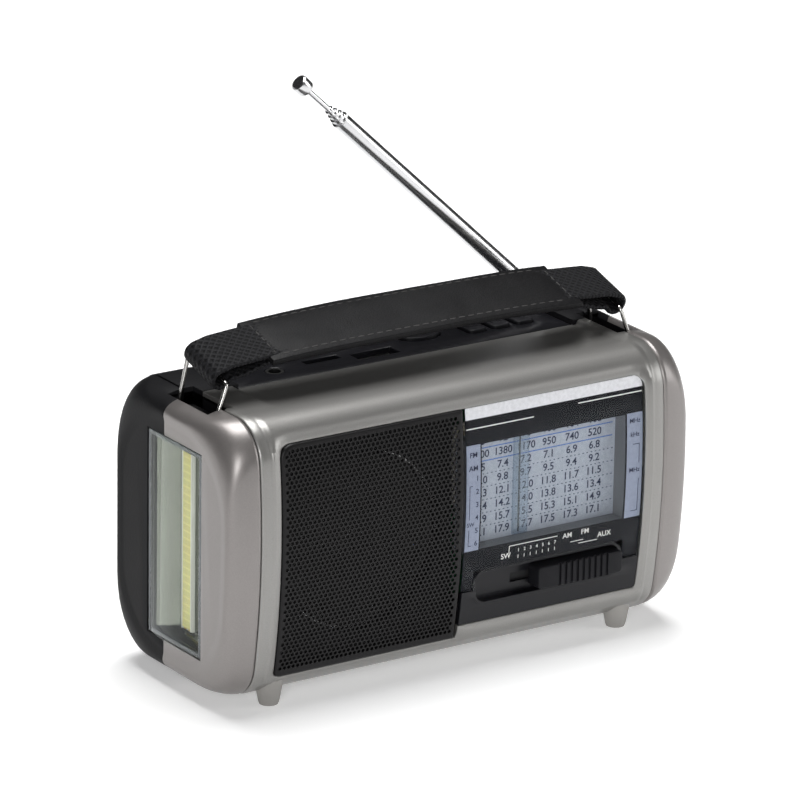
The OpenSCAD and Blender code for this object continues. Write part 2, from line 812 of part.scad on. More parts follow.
module lamp_reflector() {
    back = reflector_x + lamp_depth - 0.8;
    color("white") difference() {
        box([reflector_x, lamp_y - lamp_w / 2 + fit, lamp_z - lamp_h / 2 + fit],
            [reflector_x + lamp_depth, lamp_y + lamp_w / 2 - fit, lamp_z + lamp_h / 2 - fit]);
        intersection() {
            translate([0, 0, lamp_z - lamp_h]) linear_extrude(2 * lamp_h)
                polygon([[reflector_x - 1, lamp_y - lamp_w / 2 + 1], [back, lamp_y - 5],
                         [back, lamp_y + 5], [reflector_x - 1, lamp_y + lamp_w / 2 - 1]]);
            translate([0, lamp_y + lamp_w, lamp_z]) rotate([90, 0, 0]) linear_extrude(2 * lamp_w)
                polygon([[reflector_x - 1, -lamp_h / 2 + 1], [back, -strip_h / 2 - 1],
                         [back, strip_h / 2 + 1], [reflector_x - 1, lamp_h / 2 - 1]]);
        }
    }
}

module lamp_board() {
    x = reflector_x + lamp_depth - 0.8;
    color("white") box([x - 0.8, lamp_y - strip_w / 2 - 0.6, lamp_z - strip_h / 2 - 0.6],
        [x, lamp_y + strip_w / 2 + 0.6, lamp_z + strip_h / 2 + 0.6]);
}

module lamp_strip() {
    x = reflector_x + lamp_depth - 1.6;
    color("khaki") box([x - 0.4, lamp_y - strip_w / 2, lamp_z - strip_h / 2],
        [x, lamp_y + strip_w / 2, lamp_z + strip_h / 2]);
}

// ---- handle ----
module rod_between(a, b, r) {
    d = b - a;
    len = norm(d);
    translate(a) rotate([0, acos(d[2] / len), atan2(d[1], d[0])]) cylinder(r = r, h = len, $fn = 24);
}

module joint_ball(p) {
    translate(p) sphere(r = wire_r + 0.03, $fn = 24);
}

bar_drop = bail_w / 2 * tan(strap_tilt);

module bail() {
    front_low = [pivot_x, leg_front, pivot_z];
    back_low = [pivot_x, leg_back, pivot_z];
    front_high = [bar_x, leg_front, bar_z - bar_drop];
    back_high = [bar_x, leg_back, bar_z + bar_drop];
    color("silver") {
        rod_between([pivot_x, leg_front - well_gap - well_wall + 0.2, pivot_z], front_low, wire_r);
        rod_between(back_low, [pivot_x, leg_back + well_gap + well_wall - 0.2, pivot_z], wire_r);
        rod_between(front_low, front_high, wire_r);
        rod_between(back_low, back_high, wire_r);
        rod_between(front_high, back_high, wire_r);
        joint_ball(front_low);
        joint_ball(back_low);
        joint_ball(front_high);
        joint_ball(back_high);
    }
}

module right_bail() { bail(); }
module left_bail() { mirror([1, 0, 0]) bail(); }

loop_gap = 2.1;                         // radius of the channel round a bar
web_t = 1.3;
web_w = (bail_w - wire_d - 0.8 - 2 * (loop_gap + web_t) * sin(strap_tilt)) / cos(strap_tilt);
core_t = 1.6;
sleeve_t = 3.1;
loop_mid = loop_gap + web_t / 2;

// height of the strap's middle layer above the bars
function strap_mid(x) =
    loop_mid + (strap_rise - loop_mid) * (1 - pow(abs(x) / bar_x, 3));

module strap_band(x_half, t) {
    steps = 26;
    xs = [for (i = [0 : steps]) -x_half + 2 * x_half * i / steps];
    polygon(concat([for (x = xs) [x, strap_mid(x) + t / 2]],
        [for (i = [steps : -1 : 0]) [xs[i], strap_mid(xs[i]) - t / 2]]));
}

module strap_frame(width) {
    translate([0, bail_y, bar_z]) rotate([strap_tilt, 0, 0]) rotate([90, 0, 0])
        linear_extrude(width, center = true) children();
}

module loop_end() {
    difference() {
        union() {
            translate([bar_x, 0]) circle(r = loop_gap + web_t);
            polygon([[bar_x, loop_gap + web_t], [bar_x, -loop_gap - web_t],
                     [sleeve_len / 2, strap_mid(sleeve_len / 2) - core_t / 2],
                     [sleeve_len / 2, strap_mid(sleeve_len / 2) + core_t / 2]]);
        }
        translate([bar_x, 0]) circle(r = loop_gap);
    }
}

module handle_strap() {
    color("dimgray") strap_frame(web_w) {
        strap_band(sleeve_len / 2 + 0.5, core_t);
        loop_end();
        mirror([1, 0]) loop_end();
    }
}

module handle_sleeve() {
    color("black") difference() {
        strap_frame(sleeve_w) strap_band(sleeve_len / 2, sleeve_t);
        strap_frame(web_w) strap_band(sleeve_len / 2 + 0.5, core_t);
    }
}

// ---- telescopic aerial ----
fork_gap = 1.55;                        // half of the slot that holds the blade
pin_r = 1;

module aerial_bush() {
    color("dimgray") translate([aerial_x, aerial_y, groove_z - wall]) difference() {
        cylinder(r = 2, h = wall);
        translate([0, 0, -1]) cylinder(r = 1.2 + run_gap, h = wall + 2);
    }
}

module aerial_swivel() {
    color("silver") difference() {
        union() {
            translate([aerial_x, aerial_y, groove_z - wall - 1]) cylinder(r = 1.2, h = wall + 2);
            translate([aerial_x, aerial_y, groove_z + 0.1]) cylinder(r = head_r, h = 5.6);
        }
        box([aerial_x - 5, aerial_y - fork_gap, groove_z + 1.2],
            [aerial_x + 5, aerial_y + fork_gap, z1 + 2]);
        y_rod(aerial_x, aerial_z, pin_r, aerial_y - 5, aerial_y + 5);
    }
}

module aerial_pin() {
    color("gray") y_rod(aerial_x, aerial_z, pin_r, aerial_y - 2.4, aerial_y + 2.4);
}

module aerial_place() {
    translate([aerial_x, aerial_y, aerial_z]) rotate([0, aerial_angle - 90, 0]) children();
}

tube_from = 4;
blade_half = 1.5;

module aerial_tube_1() {
    color("silver") aerial_place() difference() {
        union() {
            rotate([90, 0, 0]) cylinder(r = 1.9, h = 2 * blade_half, center = true);
            translate([-1.5, -blade_half, 0]) cube([3, 2 * blade_half, tube_from + 1]);
            translate([0, 0, tube_from]) cylinder(r = aerial_r[0], h = aerial_len);
        }
        rotate([90, 0, 0]) cylinder(r = pin_r + run_gap, h = 10, center = true);
        translate([0, 0, tube_from + 3]) cylinder(r = aerial_r[0] - aerial_wall, h = aerial_len);
    }
}

// i counts the tubes from the outer one; each stands a little out of the last
tip_step = 1.6;

module aerial_inner(i) {
    from = tube_from + 3.5 + i * 1.5;
    top = tube_from + aerial_len + i * tip_step;
    color("silver") aerial_place() difference() {
        translate([0, 0, from]) cylinder(r = aerial_r[i], h = top - from);
        translate([0, 0, from + 1]) cylinder(r = aerial_r[i] - aerial_wall, h = aerial_len + 20);
    }
}

module aerial_tube_2() { aerial_inner(1); }
module aerial_tube_3() { aerial_inner(2); }
module aerial_tube_4() { aerial_inner(3); }

tip_r = 2.5;
tip_h = 3.8;
rod_top = tube_from + aerial_len + 3 * tip_step + rod_out;

module aerial_rod() {
    from = tube_from + 20;
    color("silver") aerial_place() {
        translate([0, 0, from]) cylinder(r = aerial_r[4], h = rod_top - from + 1);
        translate([0, 0, rod_top]) cylinder(r = tip_r, h = tip_h);
    }
}

// ---- feet and screws ----
module case_fixings() {
    color("silver") {
        for (sx = [-1, 1]) for (y = [-22, 20]) difference() {
            translate([sx * (half_w - 18), y, 0]) cylinder(r = foot_r, h = foot_h + 5);
            case_bar(-half_w, half_w, 0);
        }
        for (p = screw_at) {
            y_rod(p[0], p[1], screw_r, screw_tip, screw_seat);
            y_rod(p[0], p[1], screw_head_r, screw_seat, screw_seat + 2);
        }
    }
}

front_cabinet();
rear_cabinet();
left_end_trim();
left_end_cap();
right_end_trim();
right_end_cap();
top_panel();
speaker_grille();
speaker_baffle();
speaker_basket();
speaker_cone();
speaker_magnet();
dial_lens();
dial_mask();
dial_frame();
dial_card();
dial_pointer();
dial_cord();
cord_pulleys();
dial_drum();
tuning_shaft();
tuning_wheel();
tuning_capacitor();
lower_panel();
band_slider();
band_switch();
main_board();
volume_wheel();
volume_control();
ferrite_rod();
ferrite_coil();
battery_cell();
battery_contacts();
battery_door();
media_board();
usb_socket();
card_socket();
audio_jack();
previous_button();
play_button();
next_button();
lamp_button();
button_switches();
lamp_lens();
lamp_reflector();
lamp_board();
lamp_strip();
left_bail();
right_bail();
handle_strap();
handle_sleeve();
aerial_bush();
aerial_swivel();
aerial_pin();
aerial_tube_1();
aerial_tube_2();
aerial_tube_3();
aerial_tube_4();
aerial_rod();
case_fixings();
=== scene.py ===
"""Emergency radio: the finished model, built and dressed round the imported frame."""

from __future__ import annotations

import logging
import math
from dataclasses import dataclass
from enum import Enum
from functools import lru_cache
from typing import Callable, Iterable, Sequence

import bmesh
import bpy
from mathutils import Matrix, Vector, noise


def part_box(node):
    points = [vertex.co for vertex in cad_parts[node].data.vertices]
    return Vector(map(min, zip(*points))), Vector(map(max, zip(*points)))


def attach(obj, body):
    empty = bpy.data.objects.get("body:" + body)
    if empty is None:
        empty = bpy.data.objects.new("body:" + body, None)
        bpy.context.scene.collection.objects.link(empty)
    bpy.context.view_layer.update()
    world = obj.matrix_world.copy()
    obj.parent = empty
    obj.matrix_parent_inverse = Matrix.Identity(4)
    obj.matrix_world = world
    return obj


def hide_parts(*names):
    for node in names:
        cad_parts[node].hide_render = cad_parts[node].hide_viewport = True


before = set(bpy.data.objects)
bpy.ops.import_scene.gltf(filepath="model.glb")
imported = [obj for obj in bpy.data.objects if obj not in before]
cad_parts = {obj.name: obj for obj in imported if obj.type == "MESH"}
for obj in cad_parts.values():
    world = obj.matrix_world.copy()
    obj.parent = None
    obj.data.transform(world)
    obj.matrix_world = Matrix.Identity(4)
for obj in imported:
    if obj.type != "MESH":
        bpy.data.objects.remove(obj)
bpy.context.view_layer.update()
MM = 0.001
HOUSING = "housing"
Mesh, Vert, Edge = bmesh.types.BMesh, bmesh.types.BMVert, bmesh.types.BMEdge
Piece, Socket, Material = bpy.types.Object, bpy.types.NodeSocket, bpy.types.Material
Pair = tuple[float, float]
Colour = tuple[float, float, float]
log = logging.getLogger("radio")


# ---- finishes


class Shader:
    """A material under construction, with short ways to add and join nodes."""

    def __init__(self, name: str) -> None:
        """Starts an empty material.

        Args:
            name: the material's name.
        """
        self.material = bpy.data.materials.new(name)
        self.material.use_nodes = True
        self.tree = self.material.node_tree
        self.tree.nodes.clear()
        self.output = self.tree.nodes.new("ShaderNodeOutputMaterial")

    def add(self, kind: str, links: dict[str, object] | None = None, **values: object) -> bpy.types.Node:
        """Adds a node.

        Args:
            kind: the node's type, without its ShaderNode prefix.
            links: sockets to feed, by input name.
            values: inputs and properties to set; an underscore stands for a space.

        Returns:
            The new node.
        """
        node = self.tree.nodes.new("ShaderNode" + kind)
        for key, value in values.items():
            name = key.replace("_", " ")
            if name in node.inputs:
                node.inputs[name].default_value = value
            else:
                setattr(node, key, value)
        for key, socket in (links or {}).items():
            self.tree.links.new(socket, node.inputs[key])
        return node

    def place(self, stretch: Sequence[float] = (1, 1, 1), uv: bool = False) -> Socket:
        """Gives the coordinates that a pattern reads.

        Args:
            stretch: scale of the pattern along each axis.
            uv: whether to follow the piece's own UV map.

        Returns:
            The vector socket.
        """
        source = self.add("TexCoord").outputs["UV" if uv else "Object"]
        return self.add("Mapping", {"Vector": source}, Scale=stretch).outputs[0]

    def speckle(self, scale: float, detail: float = 3, place: object = None) -> Socket:
        """Adds a noise pattern and returns its value socket."""
        place = place or self.place()
        return self.add("TexNoise", {"Vector": place}, Scale=scale, Detail=detail).outputs[0]

    def ramp(self, value: Socket, low: Colour, high: Colour, start: float = 0.3, end: float = 0.7) -> Socket:
        """Turns a value into a colour between two, and returns the colour socket."""
        node = self.add("ValToRGB", {"Fac": value})
        for stop, place, colour in zip(node.color_ramp.elements, (start, end), (low, high)):
            stop.position, stop.color = place, (*colour, 1)
        return node.outputs[0]

    def bands(self, pitch: float, way: str) -> Socket:
        """Adds bands a pitch apart along one axis, and returns their value socket."""
        return self.add("TexWave", {"Vector": self.place()}, Scale=0.31 / pitch,
                        bands_direction=way).outputs[1]

    def spread(self, value: object, low: float, high: float) -> Socket:
        """Turns a value from 0 to 1 into a number between two, and returns its socket."""
        return self.add("MapRange", {"Value": value}, To_Min=low, To_Max=high).outputs[0]

    def bump(self, height: object, depth: float, strength: float = 1.0, under: object = None) -> Socket:
        """Turns a height into a normal, on top of another one if given, and returns its socket."""
        links = {"Height": height}
        if under is not None:
            links["Normal"] = under
        return self.add("Bump", links, Distance=depth, Strength=strength).outputs[0]

    def close(self, node: bpy.types.Node) -> Material:
        """Joins the last shader to the output and returns the material."""
        self.tree.links.new(node.outputs[0], self.output.inputs[0])
        return self.material

    def surface(self, colour: Socket, normal: Socket, rough: Socket | None = None,
                **values: float) -> Material:
        """Finishes the material with a surface shader, and returns it."""
        links = {"Base Color": colour, "Normal": normal}
        if rough is not None:
            links["Roughness"] = rough
        return self.close(self.add("BsdfPrincipled", links, **values))


def shade(colour: Colour, share: float) -> Colour:
    """Returns a colour made darker or lighter by a share."""
    return tuple(min(1.0, c * share) for c in colour)


@dataclass(frozen=True)
class Lacquer:
    """Metallic lacquer sprayed on plastic, with fine flakes and a faint orange peel."""

    name: str
    colour: Colour
    roughness: float = 0.36

    def build(self) -> Material:
        """Returns the material."""
        s = Shader(self.name)
        flakes = s.speckle(5200, 1)
        cloud = s.speckle(28, 4)
        peel = s.speckle(620, 2)
        tone = s.ramp(cloud, shade(self.colour, 0.95), shade(self.colour, 1.03))
        glint = s.ramp(flakes, shade(self.colour, 0.86), shade(self.colour, 1.12), 0.35, 0.65)
        colour = s.add("Mix", data_type="RGBA", blend_type="MIX")
        colour.inputs[0].default_value = 0.45
        for socket, source in ((6, tone), (7, glint)):
            s.tree.links.new(source, colour.inputs[socket])
        rough = s.spread(flakes, self.roughness - 0.05, self.roughness + 0.07)
        normal = s.bump(peel, 0.02 * MM, 0.25, s.bump(flakes, 0.008 * MM, 0.3))
        return s.surface(colour.outputs[2], normal, rough, Metallic=0.62, Coat_Weight=0.22,
                         Coat_Roughness=0.22)


@dataclass(frozen=True)
class Moulding:
    """Moulded plastic with a spark-eroded grain."""

    name: str
    colour: Colour
    roughness: float = 0.5
    grain: float = 1500
    depth: float = 0.03
    coat: float = 0.0
    shine: float = 0.3

    def build(self) -> Material:
        """Returns the material."""
        s = Shader(self.name)
        cells = s.add("TexVoronoi", {"Vector": s.place()}, Scale=self.grain).outputs["Distance"]
        fine = s.speckle(self.grain * 1.7, 2)
        cloud = s.speckle(45, 4)
        tone = s.ramp(cloud, shade(self.colour, 0.88), shade(self.colour, 1.1))
        rough = s.spread(cloud, self.roughness - 0.06, self.roughness + 0.08)
        normal = s.bump(cells, self.depth * MM, 0.5, s.bump(fine, self.depth * 0.5 * MM, 0.4))
        return s.surface(tone, normal, rough, Coat_Weight=self.coat, Coat_Roughness=0.08,
                         Specular_IOR_Level=self.shine)


@dataclass(frozen=True)
class Metal:
    """Bare or plated metal, with drawing marks along one axis."""

    name: str
    colour: Colour
    roughness: float = 0.15
    brush: tuple[float, float, float] = (1, 1, 1)
    scale: float = 900
    depth: float = 0.004

    def build(self) -> Material:
        """Returns the material."""
        s = Shader(self.name)
        marks = s.speckle(self.scale, 4, s.place(self.brush))
        cloud = s.speckle(60, 3)
        tone = s.ramp(cloud, shade(self.colour, 0.9), shade(self.colour, 1.04))
        rough = s.spread(marks, max(0.02, self.roughness - 0.05), self.roughness + 0.08)
        normal = s.bump(marks, self.depth * MM, 0.35)
        return s.surface(tone, normal, rough, Metallic=1.0)


@dataclass(frozen=True)
class Clear:
    """Clear plastic in a thin sheet, which lets the light through unbent."""

    name: str
    tint: Colour = (0.97, 0.98, 0.98)
    gloss: float = 0.04
    haze: float = 0.008

    def build(self) -> Material:
        """Returns the material."""
        s = Shader(self.name)
        dust = s.speckle(140, 5)
        mirror = s.add("BsdfPrincipled", {"Roughness": s.spread(dust, self.gloss, self.gloss + 0.05)},
                       Base_Color=(0.9, 0.93, 0.95, 1), Metallic=1.0)
        open_side = s.add("BsdfTransparent", Color=(*self.tint, 1))
        edge = s.add("LayerWeight", Blend=0.5).outputs["Facing"]
        steep = s.add("Math", {0: edge}, operation="POWER")
        steep.inputs[1].default_value = 5
        share = s.spread(steep.outputs[0], self.haze, 0.7)
        return s.close(s.add("MixShader", {"Fac": share, 1: open_side.outputs[0], 2: mirror.outputs[0]}))


@dataclass(frozen=True)
class Ink:
    """Printed ink with a slightly uneven film."""

    name: str
    colour: Colour
    roughness: float = 0.45

    def build(self) -> Material:
        """Returns the material."""
        s = Shader(self.name)
        film = s.speckle(900, 3)
        tone = s.ramp(film, shade(self.colour, 0.9), shade(self.colour, 1.06))
        rough = s.spread(film, self.roughness - 0.05, self.roughness + 0.1)
        return s.surface(tone, s.bump(film, 0.01 * MM, 0.3), rough, Specular_IOR_Level=0.12)


@dataclass(frozen=True)
class Webbing:
    """Nylon webbing: plaited yarns that follow the strap's own length."""

    name: str
    colour: Colour
    pitch: float = 1.3 * MM

    def build(self) -> Material:
        """Returns the material."""
        s = Shader(self.name)
        turns = 1 / self.pitch
        plies = [s.add("TexWave", {"Vector": s.place((way * turns, turns, 1), uv=True)}, Scale=0.35,
                       Distortion=0.6, Detail=2, Detail_Scale=2, wave_type="BANDS",
                       bands_direction="DIAGONAL").outputs["Fac"] for way in (1, -1)]
        yarn = s.add("Math", {0: plies[0], 1: plies[1]}, operation="MAXIMUM").outputs[0]
        fibre = s.speckle(9, 3, s.place((turns * 2, turns * 0.6, 1), uv=True))
        # The yarn height also sets the colour: the gaps between yarns are painted dark as shade, and the
        # crests are painted lighter as if lit.
        tone = s.ramp(yarn, shade(self.colour, 0.35), shade(self.colour, 1.7), 0.25, 0.95)
        normal = s.bump(yarn, 0.34 * MM, 0.9, s.bump(fibre, 0.05 * MM, 0.5))
        return s.surface(tone, normal, s.spread(fibre, 0.45, 0.7), Sheen_Weight=0.03, Sheen_Roughness=0.4,
                         Specular_IOR_Level=0.12)


@dataclass(frozen=True)
class Leather:
    """Leatherette with an embossed pebble grain."""

    name: str
    colour: Colour
    roughness: float = 0.42

    def build(self) -> Material:
        """Returns the material."""
        s = Shader(self.name)
        pebble = s.add("TexVoronoi", {"Vector": s.place()}, Scale=1150, feature="DISTANCE_TO_EDGE").outputs[0]
        crease = s.add("MapRange", {"Value": pebble}, From_Max=0.18).outputs[0]
        fine = s.speckle(2600, 3)
        cloud = s.speckle(70, 4)
        # Painted shade: the grain's creases, which are also its low ground in the bump, are coloured darker.
        tone = s.ramp(crease, shade(self.colour, 0.6), self.colour, 0.0, 0.7)
        normal = s.bump(crease, 0.045 * MM, 0.5, s.bump(fine, 0.02 * MM, 0.35))
        rough = s.spread(cloud, self.roughness - 0.06, self.roughness + 0.1)
        return s.surface(tone, normal, rough, Specular_IOR_Level=0.14)


@dataclass(frozen=True)
class Board:
    """Printed circuit board: solder resist over copper tracks."""

    name: str
    colour: Colour

    def build(self) -> Material:
        """Returns the material."""
        s = Shader(self.name)
        tracks = s.add("TexBrick", {"Vector": s.place((1, 0, 1))}, Scale=160, Mortar_Size=0.09).outputs[1]
        tone = s.ramp(tracks, self.colour, shade(self.colour, 1.9), 0.4, 0.6)
        return s.surface(tone, s.bump(tracks, 0.03 * MM, 0.5), Roughness=0.35, Coat_Weight=0.4,
                         Coat_Roughness=0.15)


@dataclass(frozen=True)
class Winding:
    """Enamelled wire laid turn by turn along X."""

    name: str
    colour: Colour
    pitch: float = 0.35 * MM

    def build(self) -> Material:
        """Returns the material."""
        s = Shader(self.name)
        wave = s.bands(self.pitch, "X")
        # Painted shade: the troughs between the turns, low in the bump too, are coloured darker.
        tone = s.ramp(wave, shade(self.colour, 0.35), self.colour)
        return s.surface(tone, s.bump(wave, 0.12 * MM, 0.9), Roughness=0.3, Metallic=0.7)


@dataclass(frozen=True)
class Phosphor:
    """The lamp's yellow gel over its row of light chips, which show as faint dots."""

    name: str
    colour: Colour
    pitch: float = 2.1 * MM

    def build(self) -> Material:
        """Returns the material."""
        s = Shader(self.name)
        wave = s.bands(self.pitch, "Z")
        gel = s.speckle(700, 3)
        tone = s.ramp(wave, shade(self.colour, 0.9), shade(self.colour, 1.05), 0.7, 1.0)
        return s.surface(tone, s.bump(gel, 0.04 * MM, 0.4), s.spread(gel, 0.3, 0.5), Subsurface_Weight=0.2,
                         Subsurface_Scale=0.001, Coat_Weight=0.3)


Finish = Lacquer | Moulding | Metal | Clear | Ink | Webbing | Leather | Board | Winding | Phosphor

SILVER = Lacquer("silver_lacquer", (0.265, 0.260, 0.250))
SILVER_TRIM = Lacquer("silver_trim_lacquer", (0.235, 0.219, 0.212), 0.38)
BLACK_CASE = Moulding("black_case_grain", (0.0075, 0.0075, 0.0085), 0.5, 1400, 0.035, 0.0, 0.12)
INNER_BLACK = Moulding("inner_black_plastic", (0.012, 0.012, 0.013), 0.6)
PANEL_GLOSS = Moulding("panel_black", (0.006, 0.006, 0.008), 0.34, 2200, 0.01, 0.05, 0.25)
KEY_BLACK = Moulding("key_black", (0.009, 0.009, 0.011), 0.42, 2600, 0.015, 0.0, 0.14)
GRILLE_PAINT = Moulding("grille_black_paint", (0.008, 0.0075, 0.008), 0.38, 3500, 0.008, 0.0, 0.2)
CLEAR_LENS = Clear("clear_lens")
CLEAR_POINTER = Clear("clear_pointer", (0.80, 0.84, 0.88), 0.05, 0.06)
LAMP_CLEAR = Clear("lamp_clear", (0.96, 0.97, 0.95), 0.03, 0.01)
LAMP_EDGE = Clear("lamp_edge_smoke", (0.42, 0.44, 0.47), 0.05, 0.12)
MASK_BLACK = Ink("mask_black_ink", (0.006, 0.006, 0.009), 0.45)
WHITE_INK = Ink("white_ink", (0.78, 0.78, 0.76))
DIAL_INK = Ink("dial_ink", (0.03, 0.035, 0.07))
BLUE_INK = Ink("blue_ink", (0.10, 0.17, 0.42))
HEADER_SILVER = Ink("header_silver_ink", (0.72, 0.71, 0.74), 0.35)
LABEL_BLUE = Ink("label_pale_blue_ink", (0.27, 0.30, 0.39), 0.45)
CARD_BLUE = Ink("card_pale_blue", (0.38, 0.405, 0.47), 0.5)
WELL_GREY = Moulding("dial_well_grey", (0.16, 0.165, 0.18), 0.45, 2000, 0.012)
POINTER_LINE = Ink("pointer_dark_line", (0.02, 0.02, 0.03), 0.4)
CHROME = Metal("aerial_chrome", (0.66, 0.66, 0.67), 0.22, (1, 1, 1), 500, 0.002)
WIRE = Metal("bail_nickel", (0.62, 0.61, 0.59), 0.2, (1, 1, 4), 1400)
REFLECTOR = Metal("reflector_mirror", (0.22, 0.23, 0.205), 0.16, (1, 1, 1), 400, 0.0015)
STEEL = Metal("zinc_steel", (0.50, 0.50, 0.50), 0.32, (1, 6, 1), 700, 0.01)
BRASS = Metal("brass", (0.62, 0.45, 0.20), 0.28, (1, 6, 1), 700, 0.01)
MAGNET = Moulding("magnet_ferrite", (0.045, 0.045, 0.05), 0.55, 900, 0.04)
CONE = Moulding("cone_paper", (0.035, 0.034, 0.034), 0.75, 1000, 0.06)
IVORY = Moulding("ivory_plastic", (0.62, 0.58, 0.48), 0.45)
NYLON = Moulding("cord_nylon", (0.55, 0.53, 0.48), 0.6, 3000, 0.04)
BOARD_GREEN = Board("board_green", (0.012, 0.085, 0.035))
LAMP_BOARD = Moulding("lamp_board_white", (0.80, 0.80, 0.77), 0.4, 2500, 0.01)
PHOSPHOR = Phosphor("lamp_phosphor_gel", (0.80, 0.74, 0.30))
COPPER = Winding("copper_coil", (0.60, 0.28, 0.12))
WRAP = Moulding("battery_wrap", (0.03, 0.10, 0.32), 0.3, 300, 0.01, 0.4)
JACK = Moulding("jack_plastic", (0.014, 0.014, 0.014), 0.4)
COMPONENT = Moulding("component_grey", (0.16, 0.16, 0.17), 0.5)
FOOT_GREY = Moulding("foot_grey", (0.30, 0.29, 0.275), 0.6, 1200, 0.03)
THREAD = Moulding("thread_black", (0.055, 0.053, 0.052), 0.65, 4000, 0.03)
STRAP = Webbing("strap_webbing", (0.007, 0.007, 0.008))
SLEEVE = Leather("sleeve_leatherette", (0.008, 0.0078, 0.0085))


@lru_cache(maxsize=None)
def material(finish: Finish) -> Material:
    """Returns a finish's material, built once."""
    return finish.build()


# ---- mesh helpers


@lru_cache(maxsize=None)
def box_of(node: str) -> tuple[Vector, Vector]:
    """Returns a frame node's lowest and highest corners, measured once."""
    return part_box(node)


def show(thing: Piece) -> None:
    """Puts an object in the scene."""
    bpy.context.scene.collection.objects.link(thing)


def middle_of(face: bmesh.types.BMFace) -> Vector:
    """Returns the middle of a face."""
    return face.calc_center_median()


def weld(bm: Mesh, reach: float) -> None:
    """Merges vertices that lie within a reach."""
    bmesh.ops.remove_doubles(bm, verts=bm.verts, dist=reach)


def outward(bm: Mesh) -> None:
    """Turns a closed mesh's faces outwards."""
    bmesh.ops.recalc_face_normals(bm, faces=bm.faces)


def divide(bm: Mesh, place: Sequence[float], way: Sequence[float], near: float = 1e-7,
           geom: list | None = None,
           **clear: bool) -> None:
    """Divides a mesh along a plane.

    Args:
        bm: the mesh.
        place: a point on the plane.
        way: the plane's direction.
        near: how close a vertex counts as on the plane.
        geom: what is divided, or nothing for all of it.
        clear: which side is taken away.
    """
    whole = bm.verts[:] + bm.edges[:] + bm.faces[:]
    bmesh.ops.bisect_plane(bm, geom=geom or whole, plane_co=place, plane_no=way, dist=near, **clear)


def sliced(bm: Mesh, axis: int, low: float, high: float, steps: int) -> None:
    """Divides a mesh into even steps along one axis."""
    way = Vector([float(i == axis) for i in range(3)])
    for i in range(1, steps):
        divide(bm, way * (low + (high - low) * i / steps), way)


def drawn_on(bm: Mesh, edges: list[Edge]) -> tuple[list[Vert], list[Edge]]:
    """Extrudes edges in place, and returns the new vertices and edges."""
    made = bmesh.ops.extrude_edge_only(bm, edges=edges)["geom"]
    fresh = {g for g in made if isinstance(g, Vert)}
    return list(fresh), [g for g in made if isinstance(g, Edge) and set(g.verts) <= fresh]


def ring_of(bm: Mesh, points: Iterable[Sequence[float]]) -> tuple[list[Vert], list[Edge]]:
    """Adds a closed loop through points, and returns its vertices and edges."""
    verts = [bm.verts.new(p) for p in points]
    return verts, [bm.edges.new(pair) for pair in zip(verts, verts[1:] + verts[:1])]


def place_piece(bm: Mesh, name: str, finish: Finish, body: str, replaces: Sequence[str] = (),
                smooth: float = 32) -> Piece:
    """Turns a bmesh into a finished piece that rides on a body.

    Args:
        bm: the mesh, in the row frame; it is freed.
        name: the piece's name.
        finish: what it is made of.
        body: the body it moves with.
        replaces: frame nodes that it stands for.
        smooth: edges sharper than this, in degrees, stay crisp.

    Returns:
        The new object.
    """
    mesh = bpy.data.meshes.new(name)
    bm.to_mesh(mesh)
    bm.free()
    mesh.polygons.foreach_set("use_smooth", [True] * len(mesh.polygons))
    mesh.set_sharp_from_angle(angle=math.radians(smooth))
    mesh.materials.append(material(finish))
    piece = bpy.data.objects.new(name, mesh)
    show(piece)
    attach(piece, body)
    if replaces:
        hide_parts(*replaces)
    log.info("%s: %d faces", name, len(mesh.polygons))
    return piece


def applied(bm: Mesh, kind: str, **settings: object) -> Mesh:
    """Runs one modifier on a bmesh.

    Args:
        bm: the mesh; it is freed.
        kind: the modifier's type.
        settings: its properties.

    Returns:
        The changed mesh.
    """
    mesh = bpy.data.meshes.new("work")
    bm.to_mesh(mesh)
    bm.free()
    holder = bpy.data.objects.new("work", mesh)
    show(holder)
    modifier = holder.modifiers.new("work", kind)
    for key, value in settings.items():
        setattr(modifier, key, value)
    graph = bpy.context.evaluated_depsgraph_get()
    result = bmesh.new()
    result.from_mesh(holder.evaluated_get(graph).to_mesh())
    bpy.data.objects.remove(holder)
    bpy.data.meshes.remove(mesh)
    return result


def cut_with(bm: Mesh, tool: Mesh, way: str = "DIFFERENCE") -> Mesh:
    """Cuts one closed mesh with another, and returns the result; both are freed."""
    mesh = bpy.data.meshes.new("tool")
    tool.to_mesh(mesh)
    tool.free()
    holder = bpy.data.objects.new("tool", mesh)
    show(holder)
    result = applied(bm, "BOOLEAN", operation=way, object=holder, solver="EXACT")
    bpy.data.objects.remove(holder)
    bpy.data.meshes.remove(mesh)
    return result


def bevelled(bm: Mesh, edges: Iterable[Edge], width: float, segments: int = 2) -> None:
    """Rounds edges in place."""
    bmesh.ops.bevel(bm, geom=list(edges), offset=width, offset_type="OFFSET", segments=segments, profile=0.5,
                    affect="EDGES", clamp_overlap=True, material=-1)


def sharp_edges(bm: Mesh, angle: float = 50) -> list[Edge]:
    """Returns a mesh's closed edges that turn by more than an angle, in degrees."""
    limit = math.radians(angle)
    return [e for e in bm.edges if e.is_manifold and e.calc_face_angle(0) > limit]


def block(low: Sequence[float], high: Sequence[float], radius: float = 0, segments: int = 2) -> Mesh:
    """Returns a box between two corners, with its edges rounded."""
    bm = bmesh.new()
    size = Vector(high) - Vector(low)
    centre = (Vector(high) + Vector(low)) / 2
    bmesh.ops.create_cube(bm, size=1, matrix=Matrix.Translation(centre) @ Matrix.Diagonal((*size, 1)))
    if radius:
        bevelled(bm, bm.edges[:], radius, segments)
    return bm


